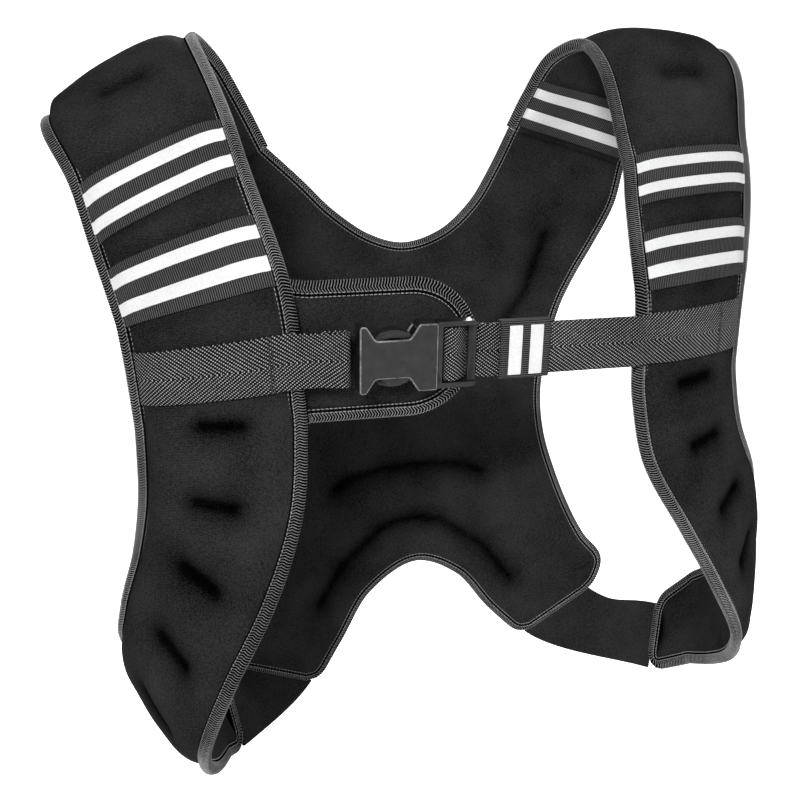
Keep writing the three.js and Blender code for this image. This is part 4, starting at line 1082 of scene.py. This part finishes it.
def back_faces(half, borders):
    """Back and front points of one half of the padded back, and the painted shade along its channels."""
    inner, outer, normal = half.sections(BACK_ROWS)
    v = PAD_SHARES
    grid = inner[:, None] * (1 - v)[None, :, None] + outer[:, None] * v[None, :, None]
    flat = grid.reshape(-1, 3)
    away = np.min([distance_to(border, flat) for border in borders], axis=0)
    seam = BACK_ROWS[:, None] * BACK_LENGTH * SEAM_SLOPE + FLAT_MARGIN
    away = np.minimum(away.reshape(grid.shape[:2]), seam)
    kept, dent_shade = np.ones(len(flat)), np.zeros(len(flat))
    for depth, line in CHANNELS:
        near = np.min([distance_to([(side * SHOULDER_SPREAD * x, 0, CREST_RISE + DROP * z)
                                    for x, z in line], flat * [1, 0, 1]) for side in (-1, 1)], axis=0)
        for spread in (CHANNEL_SPREAD, 3.0):
            kept *= 1 - depth * 0.9 * bump(near, spread)
        # painted shade along the sewn channels
        dent_shade = np.maximum(dent_shade, 0.5 * bump(near, 9) + 0.35 * bump(near, 2.6))
    kept *= uneven(flat[:, 2] + 40, flat[:, 0])
    padding = roll(away)
    full = (PAD_THICKNESS - EDGE_THICKNESS) / 2
    half_thick = EDGE_THICKNESS / 2 + full * padding * kept.reshape(padding.shape)
    share = smoothstep(BACK_ROWS, 0, NECK_END)[:, None]
    bow = STRAP_BOW * 4 * v * (1 - v) * (1 - share) + BACK_BOW * padding * share
    behind = grid + normal[:, None] * (bow + half_thick)[..., None]
    before = grid + normal[:, None] * (bow - half_thick)[..., None]
    return behind, before, dent_shade


def back_pad():
    """Both halves of the padded back, joined on the middle line."""
    borders = back_borders()
    points, faces, maps, marks, offset = [], [], [], [], 0
    for half in HALVES:
        behind, before, dent_shade = back_faces(half, borders)
        marks += [dent_shade, dent_shade]
        open_side = ON_MIDDLE[:-1] & ON_MIDDLE[1:]
        half_points, half_faces, uv = slab_data(behind, before, open_side)
        uv[:, 1] *= half.sign
        points.append(half_points)
        faces.append(half_faces + offset)
        maps.append(uv)
        offset += len(half_points)
    piece = add_mesh("back_pad", np.concatenate(points), np.concatenate(faces), np.concatenate(maps))
    mark_painted_shade(piece, np.concatenate(marks))
    return outwards(piece, 2e-5)


back = back_pad()
subdivide(back)
dress(back, NEOPRENE, "neoprene", "back_panel", padded=0.5)


def back_edge_paths():
    """Neckline, and the way down an armhole, round a lobe and up the arch on each side."""
    neck, edge = [], []
    for half in HALVES:
        inner, outer, normal = half.sections(BACK_ROWS)
        upper, lower = BACK_ROWS < NECK_END + 1e-6, BACK_ROWS > ARCH_START - 1e-6
        shares = np.linspace(0, 1, 26)[1:-1, None]
        foot = outer[-1] * (1 - shares) + inner[-1] * shares
        neck.append((inner[upper], normal[upper]))
        edge.append((np.concatenate([outer, foot, inner[lower][::-1]]),
                     np.concatenate([normal, np.repeat(normal[-1:], len(foot), axis=0),
                                     normal[lower][::-1]])))

    def joined(pair):
        """The left half's way, then the right half's back again."""
        (a, an), (b, bn) = pair
        return np.concatenate([a, b[::-1][1:]]), np.concatenate([an, bn[::-1][1:]])
    return joined(neck), joined(edge)


(neck_points, neck_normals), (rim_points, rim_normals) = back_edge_paths()
add_binding("neck_binding", "neckline", neck_points, neck_normals, 1, BACK_BINDING_WIDTH)
add_binding("back_edge_binding", "back", rim_points, rim_normals, -1, BACK_BINDING_WIDTH)


# Side bands of thin neoprene
def side_band(half):
    """Thin neoprene from the back's lower end, round the side, to the strap's end."""
    strap, last = half.strap, np.array([1.0])
    normal = half.sections(np.array([0.985]))[2][0]
    inner, outer = half.end("inner", last)[0], half.end("outer", last)[0]
    past_back, past_strap = (width + 2 * CLEARANCE - SIDE_BAND_LAP
                             for width in (BACK_BINDING_WIDTH, BINDING_WIDTH))
    away = unit(np.cross(normal, unit(outer - inner)) * half.sign)
    across, forward = strap.frame(last)[0][0], strap.frame(last)[1][0]
    ends = []
    for at_back, at_strap in SIDE_BAND_SHARES:
        start = inner + (outer - inner) * at_back + away * past_back
        end = strap.middle(last)[0] + across * (at_strap - 0.5) * STRAP_END_WIDTH + forward * past_strap
        ends.append((start, end))
    reach = np.linalg.norm(ends[0][1] - ends[0][0])
    t = np.linspace(0, 1, 36)[:, None]
    lines = []
    for start, end in ends:
        towards = unit(end - start)
        leave = (towards * 0.5 + away * 0.5) * reach
        arrive = (towards * 0.3 - forward * 0.7) * reach
        lines.append(hermite(start, end, leave, arrive, t))
    low, middle, high = lines
    grid = np.stack([low * (1 - v) * (1 - 2 * v) + middle * 4 * v * (1 - v) + high * v * (2 * v - 1)
                     for v in np.linspace(0, 1, 15)], axis=1)
    normals = unit(np.cross(np.gradient(grid, axis=1), np.gradient(grid, axis=0)) * half.sign)
    thick = normals * SIDE_BAND_THICKNESS / 2
    return add_slab(f"side_band_{strap.side}_cloth", grid + thick, grid - thick), grid


for half in HALVES:
    band, cloth = side_band(half)
    bevel(band, 1.0, 3)
    dress(band, NEOPRENE, "neoprene", f"side_band_{half.strap.side}")
    flat, area = cut_size(cloth)


# Chest belt
class Belt:
    """The belt's own frame: u from the left strap to the right one, t forwards, w up."""

    def __init__(self):
        left, right = (self.leaves(strap) for strap in STRAPS)
        self.start, self.span = left, np.linalg.norm(right - left)
        self.along = unit(right - left)
        run = LEFT.further(WEBBING_RUN, WEBBING_WIDTH / 2)
        up = -LEFT.frame(np.array([run]))[3][0]
        self.up = unit(up - self.along * (up @ self.along))
        self.front = np.cross(self.along, self.up)
        length = SOCKET_FRAME + SOCKET_BODY + LADDER_LENGTH
        self.socket_start = self.span * BUCKLE_AT - length / 2
        self.ladder_start = self.socket_start + SOCKET_FRAME + SOCKET_BODY
        self.ladder_end = self.ladder_start + LADDER_LENGTH
        self.socket_bar = self.socket_start + 1 + BAR_WIDTH / 2
        self.ladder_bar = self.ladder_start + 0.4 * LADDER_LENGTH
        self.end_bar = self.ladder_end - 1 - BAR_WIDTH / 2
        self.keeper_start = self.ladder_end + KEEPER_FROM_BUCKLE

    def leaves(self, strap):
        """Where the belt leaves a strap's inner edge."""
        run = strap.further(WEBBING_RUN, WEBBING_WIDTH / 2)
        return self.over_binding(strap, np.array([run]), CLEARANCE + BINDING_WIDTH + 2,
                                 WEBBING_THICKNESS / 2)[0]

    def over_binding(self, strap, runs, outwards_by, height):
        """Points at a height over a strap's inner binding."""
        across, _, normal, _ = strap.frame(runs)
        return (strap.edge(runs, 0) - across * outwards_by
                + normal * (BINDING_THICKNESS / 2 + CLEARANCE + height))

    def at(self, u, t, w):
        u, t, w = (np.asarray(value, float)[..., None] for value in (u, t, w))
        return self.start + self.along * u + self.front * t + self.up * w


belt = Belt()
LINES = np.linspace(1, -1, 9)  # lines of the webbing from its upper to its lower edge


def round_bar(bar, side, start):
    """Half a turn of webbing round a bar of the buckle."""
    turn = np.radians(np.linspace(start, -90, 15))
    return [(bar + side * LOOP_RADIUS * math.cos(a), LOOP_RADIUS * math.sin(a)) for a in turn]


def add_webbing(name, strap, path, travel):
    """Webbing from a strap's outer edge over its inner edge and along the belt."""
    runs = strap.run(strap.place(WEBBING_RUN) + (1 - LINES) * WEBBING_WIDTH / 2)
    shares = np.concatenate([np.linspace(0.985, 0.08, 34), [0.04, 0.0]])
    lift = (BINDING_THICKNESS - EDGE_THICKNESS) / 2 + CLEARANCE
    low = CLEARANCE + (lift - CLEARANCE) * smoothstep(shares, 0.09, 0.0)
    stations = [[strap.on(runs, share, height + add)[:, 0] for add in (0, WEBBING_THICKNESS)]
                for share, height in zip(shares, low)]
    stations += [[belt.over_binding(strap, runs, CLEARANCE + out * BINDING_WIDTH, height)
                  for height in (0, WEBBING_THICKNESS)] for out in (0.3, 0.65)]
    path = np.array(path, float)
    along = path_lengths(path)
    fine = np.linspace(0, along[-1], max(8, round(along[-1] / 2.0)))
    fine = np.unique(np.concatenate([fine, along]).round(4))
    route = np.stack([np.interp(fine, along, path[:, k]) for k in range(2)], axis=1)
    way = unit(np.gradient(route, axis=0))
    side = np.stack([-travel * way[:, 1], travel * way[:, 0]], axis=1) * WEBBING_THICKNESS / 2
    for (u, t), (du, dt) in zip(route, side):
        stations.append([belt.at(np.full(len(LINES), u + face * du), np.full(len(LINES), t + face * dt),
                                 LINES * WEBBING_WIDTH / 2) for face in (-1, 1)])
    lower, upper = (np.array([station[k] for station in stations]) for k in (0, 1))
    # three rounds of easing take the corners out of its way
    for grid in (lower, upper) * 3:
        grid[1:-1] = grid[1:-1] * 0.5 + (grid[:-2] + grid[2:]) * 0.25
    points, faces, uv = slab_data(upper, lower)
    # the map's second part is centimetres from the webbing's middle line
    uv[:, 1] = np.tile(LINES * -WEBBING_WIDTH / 20, 2 * len(stations))
    piece = outwards(add_mesh(name, points, faces, uv))
    bevel(piece, 0.5)
    return piece


left_webbing = add_webbing("belt_left", LEFT, [
    (0, 0),
    (belt.socket_bar - 3 * LOOP_RADIUS, 0),
    *round_bar(belt.socket_bar, 1, 90),
    (belt.socket_bar - TAIL_LENGTH, -LOOP_RADIUS)], 1)
dress(left_webbing, WEBBING, "webbing", "webbing_left")

# the right side goes round the ladder bar and comes back underneath itself
UNDER_BAR = -BAR_WIDTH / 2 - CLEARANCE - WEBBING_THICKNESS / 2
LAYER_STEP = WEBBING_THICKNESS + CLEARANCE
right_webbing = add_webbing("belt_right", RIGHT, [
    (belt.span, 0),
    (belt.keeper_start + KEEPER_LENGTH, 0),
    (belt.end_bar + 3 * BAR_WIDTH, 0),
    (belt.end_bar + BAR_WIDTH, UNDER_BAR),
    (belt.end_bar - 0.8 * BAR_WIDTH, UNDER_BAR),
    *round_bar(belt.ladder_bar, -1, 130),
    (belt.end_bar - 0.8 * BAR_WIDTH, UNDER_BAR - LAYER_STEP),
    (belt.end_bar + BAR_WIDTH, UNDER_BAR - LAYER_STEP),
    (belt.end_bar + 3 * BAR_WIDTH, -LAYER_STEP),
    (belt.keeper_start + KEEPER_LENGTH / 2, -LAYER_STEP)], -1)
dress(right_webbing, WEBBING, "webbing", "webbing_right")


def bar_tack(strap, share):
    """A row of dark stitches that sews the webbing down across its width."""
    runs = strap.run(strap.place(WEBBING_RUN) + np.linspace(0.5, WEBBING_WIDTH - 0.5, 26))
    outs, _, normals, _ = strap.frame(runs)
    above = CLEARANCE + WEBBING_THICKNESS + 0.1
    rows = [(strap.on(runs, share + aside, above)[:, 0], normals, outs) for aside in (-0.008, 0.008)]
    sew(f"belt_{strap.side}_bar_tack", CHAIN, rows, TACK_THREAD, Link=1.3, Thread=CHAIN_THREAD)


bar_tack(RIGHT, 0.66)
bar_tack(LEFT, 0.09)


# Guard flap
def flap_cloth():
    """A flap from under the left strap, with a round free end, and the way round its rim."""
    lines = np.linspace(1, -1, 25)
    radius = FLAP_HEIGHT / 2
    straight = FLAP_REACH - radius
    runs = LEFT.run(LEFT.place(WEBBING_RUN) + WEBBING_WIDTH / 2 - lines * radius)
    columns, edges = [], []
    for share in (0.16, 0.11, 0.06):
        columns.append([LEFT.on(runs, share, FLAP_SEAT + add, True)[:, 0]
                        for add in (0, FLAP_THICKNESS)])
        middle = (columns[-1][0] + columns[-1][1]) / 2
        edges.append([middle[0], middle[-1]])
    reach = np.concatenate([np.linspace(0.06, 1, 18)[:-1] * straight,
                            straight + radius * np.sin(np.radians(np.linspace(0, 86, 22)))])
    for u in reach:
        inside = max(0.0, (u - straight) / radius)
        height = radius * math.sqrt(1 - inside ** 2)
        away = np.minimum((1 - np.abs(lines)) * height, FLAP_REACH - u)
        puff = FLAP_THICKNESS / 2 * (0.55 + 0.45 * roll(away * 2.2))
        columns.append([belt.at(np.full(len(lines), u), -FLAP_BEHIND - side * puff, lines * height)
                        for side in (-1, 1)])
        edges.append([belt.at(u, -FLAP_BEHIND, side * height) for side in (1, -1)])
    upper, lower = (np.array([column[k] for column in columns]) for k in (0, 1))
    edges = np.array(edges)
    rim = np.concatenate([edges[:, 0], edges[::-1, 1]])
    return add_slab("guard_flap_cloth", upper, lower), rim


flap, flap_rim = flap_cloth()
subdivide(flap)
dress(flap, NEOPRENE, "neoprene", "guard_flap", padded=0.3)
add_binding("guard_flap_binding", "guard_flap", flap_rim,
            np.repeat(belt.front[None, :], len(flap_rim), axis=0), -1)


# Buckle and keeper, made in the belt's frame
def in_belt(points):
    """Places of points given by u, w and t."""
    points = np.asarray(points, float)
    return belt.at(points[:, 0], points[:, 2], points[:, 1])


def rounded(outline, radius, steps=6):
    """An outline with its corners rounded."""
    made, count = [], len(outline)
    radii = radius if isinstance(radius, list) else [radius] * count
    for k in range(count):
        before, here, after = (np.array(outline[(k + d) % count], float) for d in (-1, 0, 1))
        to_before, to_after = unit(before - here), unit(after - here)
        angle = math.acos(float(np.clip(to_before @ to_after, -1, 1)))
        if radii[k] <= 0 or angle > math.radians(176):
            made.append(tuple(here))
            continue
        cut = min(radii[k] / math.tan(angle / 2), 0.49 * np.linalg.norm(before - here),
                  0.49 * np.linalg.norm(after - here))
        a, b = here + to_before * cut, here + to_after * cut
        made += [tuple(a * (1 - t) ** 2 + 2 * here * t * (1 - t) + b * t * t)
                 for t in np.linspace(0, 1, steps + 1)]
    return made


def block(name, outline, thickness, centre=0.0):
    """An outline in u and w, thick in t, in the belt's frame."""
    flat = np.array(outline, float)
    count = len(flat)
    low = np.column_stack([flat, np.full(count, centre - thickness / 2)])
    high = np.column_stack([flat, np.full(count, centre + thickness / 2)])
    sides = [[k, (k + 1) % count, count + (k + 1) % count, count + k] for k in range(count)]
    faces = [list(range(count))[::-1], list(range(count, 2 * count))] + sides
    return outwards(add_mesh(name, in_belt(np.concatenate([low, high])), faces, smooth=False))


def box_outline(u0, u1, w0, w1):
    return [(u0, w0), (u1, w0), (u1, w1), (u0, w1)]


def combine(piece, others, operation):
    """A piece joined with others, or with them cut out of it."""
    for other in others:
        finish_with(piece, "BOOLEAN", operation=operation, object=other, solver="EXACT")
        applied(piece)
        bpy.data.objects.remove(other)
    return piece


def soften(piece, width):
    """Rounds the edges of a moulded piece, which get the second material with its painted highlight, and
    shades it.
    """
    for part in (PLASTIC, EDGE_HIGHLIGHT):
        piece.data.materials.append(part)
    finish_with(piece, "BEVEL", width=width * MM, segments=3, limit_method="ANGLE",
                angle_limit=math.radians(35), use_clamp_overlap=True, harden_normals=False,
                material=1)
    applied(piece)
    piece.data.polygons.foreach_set("use_smooth", [True] * len(piece.data.polygons))
    finish_with(piece, "WEIGHTED_NORMAL", keep_sharp=False)
    return piece


def thinned(u0, u1, rail):
    """Cutters that leave a bar thinner than its frame, in front and behind."""
    return [block(f"bar_face_{side}", box_outline(u0, u1, -rail, rail), FRAME_THICKNESS,
                  side * (FRAME_THICKNESS + BAR_WIDTH) / 2) for side in (1, -1)]


def buckle_socket():
    """Hollow body with a window in each side, and a frame with a bar for the webbing."""
    half = BUCKLE_HEIGHT / 2
    rail = half - RAIL_WIDTH
    start, body_start = belt.socket_start, belt.socket_start + SOCKET_FRAME
    body_end = body_start + SOCKET_BODY
    middle = body_start + 0.42 * SOCKET_BODY
    reach = half - WINDOW_DEPTH

    def window(side):
        return [(middle + share * WINDOW_LENGTH, side * w) for share, w in (
            (0.56, half), (0.36, reach), (-0.36, reach), (-0.56, half))]
    outline = [(body_start, -half), *window(-1)[::-1], (body_end, -half),
               (body_end, half), *window(1), (body_start, half)]
    radii = [2.0, 1.6, 3.0, 3.0, 1.6, 1.6, 1.6, 1.6, 3.0, 3.0, 1.6, 2.0]
    shell = block("buckle_socket_body", rounded(outline, radii), SOCKET_THICKNESS)
    cavity = block("cavity", box_outline(body_start + SOCKET_WALL, body_end + 1, -rail, rail),
                   SOCKET_THICKNESS - 2 * SOCKET_WALL)
    shell = combine(shell, [cavity], "DIFFERENCE")
    ring = block("webbing_frame", rounded(box_outline(start, body_start + 1.5, -half, half), 2.0),
                 FRAME_THICKNESS)
    slot = block("slot", box_outline(start + BAR_WIDTH, body_start - 0.2, -rail, rail),
                 2 * FRAME_THICKNESS)
    ring = combine(ring, [slot, *thinned(start - 1, start + BAR_WIDTH + 0.5, rail)], "DIFFERENCE")
    return soften(combine(shell, [ring], "UNION"), 0.7)


# Half a prong: share of its reach, outer edge as a share of the rail's height
PRONG_SHAPE = [(1, 0.66), (0.85, 0.63), (0.7, 0.66), (0.55, 0.84), (0.42, 0.97), (0.28, 0.99),
               (0.12, 0.9), (0, 0.62)]


def buckle_plug():
    """A ladder frame with two bars, two prongs and a guide between them."""
    half = BUCKLE_HEIGHT / 2
    rail = half - RAIL_WIDTH
    thin = SOCKET_THICKNESS - 2 * SOCKET_WALL - 2 * CLEARANCE
    start, stop = belt.ladder_start + CLEARANCE, belt.ladder_end
    ring = block("buckle_plug_body", rounded(box_outline(start, stop, -half, half),
                                             [1.0, 3.0, 3.0, 1.0]), FRAME_THICKNESS)
    bar_low, bar_high = belt.ladder_bar - BAR_WIDTH / 2, belt.ladder_bar + BAR_WIDTH / 2
    slots = [(start + RAIL_WIDTH, bar_low), (bar_high, belt.end_bar - BAR_WIDTH / 2)]
    holes = [block(f"slot_{k}", rounded(box_outline(low, high, -rail, rail), 0.8), 2 * FRAME_THICKNESS)
             for k, (low, high) in enumerate(slots)]
    ring = combine(ring, holes + thinned(bar_low - 0.5, stop + 1, rail), "DIFFERENCE")
    reach = SOCKET_BODY - SOCKET_WALL - 4
    for side in (1, -1):
        outer = [(start - reach * (1 - share), side * rail * w) for share, w in PRONG_SHAPE]
        widths = [PRONG_WIDTH] * (len(outer) - 1) + [1.2]
        inner = [(u, side * (abs(w) - width)) for (u, w), width in zip(outer, widths)]
        prong = block(f"prong_{side}", rounded(outer + inner[::-1], 2.5, 4), thin)
        ring = combine(ring, [prong], "UNION")
    guide = box_outline(start - reach / 2, start + 1.2, -PRONG_WIDTH / 2, PRONG_WIDTH / 2)
    ring = combine(ring, [block("guide", rounded(guide, 1.2, 4), thin)], "UNION")
    return soften(ring, 0.5)


socket = buckle_socket()
dress(socket, (PLASTIC, EDGE_HIGHLIGHT), "buckle_plastic", "buckle_socket")
plug = buckle_plug()
dress(plug, (PLASTIC, EDGE_HIGHLIGHT), "buckle_plastic", "buckle_plug")


def keeper_ring(name, start, stop, inside, thickness):
    """An elastic loop round the webbing with round corners."""
    back, front = inside
    half = WEBBING_WIDTH / 2 + CLEARANCE

    def ring(extra, u):
        flat = rounded(box_outline(back - extra, front + extra, -half - extra, half + extra),
                       1.2 + extra, 5)
        return np.array([(u, w, t) for t, w in flat])
    us = np.linspace(start, stop, 14)
    outer, inner = (np.array([ring(extra, u) for u in us]) for extra in (thickness, 0.0))
    rows, sides = outer.shape[:2]
    count = rows * sides
    index = np.arange(count).reshape(rows, sides)
    faces = [tube_faces(index), tube_faces(index)[:, ::-1] + count]
    for a in (index[0], index[-1]):
        b = np.roll(a, -1)
        faces.append(np.stack([a, b, b + count, a + count], axis=1))
    around = path_lengths(np.concatenate([outer[0], outer[0][:1]]))[:-1] / 10
    uv = np.stack(np.broadcast_arrays(around[None, :], us[:, None] / 10), axis=-1).reshape(-1, 2)
    points = in_belt(np.concatenate([outer.reshape(-1, 3), inner.reshape(-1, 3)]))
    return outwards(add_mesh(name, points, np.concatenate(faces), np.concatenate([uv, uv])))


KEEPER_INNER = (-1.5 * WEBBING_THICKNESS - 2 * CLEARANCE, WEBBING_THICKNESS / 2 + CLEARANCE)
keeper = keeper_ring("keeper_elastic", belt.keeper_start, belt.keeper_start + KEEPER_LENGTH,
                     KEEPER_INNER, KEEPER_THICKNESS)
dress(keeper, ELASTIC, "elastic", "webbing_keeper")


def keeper_stripe(name, share):
    """A white stripe across the keeper's front."""
    centre = belt.keeper_start + share * KEEPER_LENGTH
    half = WEBBING_WIDTH / 2 + CLEARANCE
    us = np.linspace(centre - KEEPER_STRIPE / 2, centre + KEEPER_STRIPE / 2, 5)
    ws = np.linspace(half, -half, 15)
    turned_in = 0.9 * (np.abs(ws) / half) ** 12

    def layer(height):
        t = KEEPER_INNER[1] + KEEPER_THICKNESS + height - turned_in
        return np.array([belt.at(np.full(len(ws), u), t, ws) for u in us])
    return add_slab(name, layer(TAPE_RISE), layer(-TAPE_SUNK))


for k, share in enumerate((0.3, 0.72)):
    stripe = keeper_stripe(f"keeper_tape_{k + 1}", share)
    bevel(stripe, 0.18)
    dress(stripe, REFLECTIVE, "reflective_tape", f"webbing_keeper_stripe_{k + 1}")


# Camera and studio
def add_camera():
    """A camera at the photo's angle, solved from points picked in the photo."""
    yaw, pitch, lean = math.radians(13.34), math.radians(12.44), math.radians(-3.44)
    distance, lens = 641.36, 46.15
    target = Vector((-17.76, -10.0, -200.09))
    look = Vector((math.sin(yaw) * math.cos(pitch), math.cos(yaw) * math.cos(pitch), -math.sin(pitch)))
    side = Vector((math.cos(yaw), -math.sin(yaw), 0.0))
    rise = side.cross(look)
    right = side * math.cos(lean) + rise * math.sin(lean)
    up = rise * math.cos(lean) - side * math.sin(lean)
    data = bpy.data.cameras.new("photo_camera")
    data.lens, data.sensor_width = lens, 36.0
    data.clip_start, data.clip_end = 0.02, 20.0
    camera = bpy.data.objects.new("photo_camera", data)
    turn = Matrix((right, up, -look)).transposed().to_4x4()
    camera.matrix_world = Matrix.Translation((target - look * distance) * MM) @ turn
    bpy.context.scene.collection.objects.link(camera)
    bpy.context.scene.camera = camera


# Soft lights: place and size in metres, power in watts
LIGHTS = {"key_softbox": ((-0.7, -1.6, 0.7), 0.5, 30), "fill_softbox": ((1.5, -1.2, 0.4), 0.8, 9),
          "top_softbox": ((0.2, 0.1, 1.6), 0.8, 6), "back_softbox": ((0.3, 1.7, 0.7), 0.8, 30)}
CHEST = Vector((0, 0, -0.2))


def add_light(name, place, size, power):
    data = bpy.data.lights.new(name, "AREA")
    data.shape, data.size, data.energy = "DISK", size, power
    light = bpy.data.objects.new(name, data)
    way = CHEST - Vector(place)
    light.matrix_world = Matrix.Translation(place) @ way.to_track_quat("-Z", "Y").to_matrix().to_4x4()
    bpy.context.scene.collection.objects.link(light)


def add_studio():
    """Pale seamless floor and backdrop, and soft light from all round."""
    profile = [(-3.5, -0.62), (1.4, -0.62)]
    profile += [(1.4 + 0.8 * math.sin(a), -0.62 + 0.8 * (1 - math.cos(a)))
                for a in np.linspace(0.1, math.pi / 2, 12)]
    profile += [(2.2, 3.2)]
    points = np.array([(x, y, z) for y, z in profile for x in (-4.0, 4.0)]) / MM
    faces = [[2 * k, 2 * k + 1, 2 * k + 3, 2 * k + 2] for k in range(len(profile) - 1)]
    floor = add_mesh("studio_floor", points, faces)
    material, tree, shader = new_material("pale studio paper", 0.9)
    shader.inputs["Base Color"].default_value = (0.93, 0.93, 0.93, 1)
    # the paper is seen evenly white and lights nothing by itself
    shader.inputs["Emission Color"].default_value = (1, 1, 1, 1)
    seen = tree.nodes.new("ShaderNodeLightPath").outputs["Is Camera Ray"]
    link(tree, seen, shader.inputs["Emission Strength"])
    floor.data.materials.append(material)
    for name, light in LIGHTS.items():
        add_light(name, *light)
    world = bpy.data.worlds.new("studio")
    bpy.context.scene.world = world
    world.use_nodes = True
    tree = world.node_tree
    room = tree.nodes["Background"]
    room.inputs["Color"].default_value = (1, 1, 1, 1)
    seen = tree.nodes.new("ShaderNodeLightPath").outputs["Is Camera Ray"]
    strength = math_node(tree, "ADD", math_node(tree, "MULTIPLY", seen, 0.9), 0.2)
    link(tree, strength, room.inputs["Strength"])
    bpy.context.scene.view_settings.view_transform = "Standard"


add_camera()
add_studio()
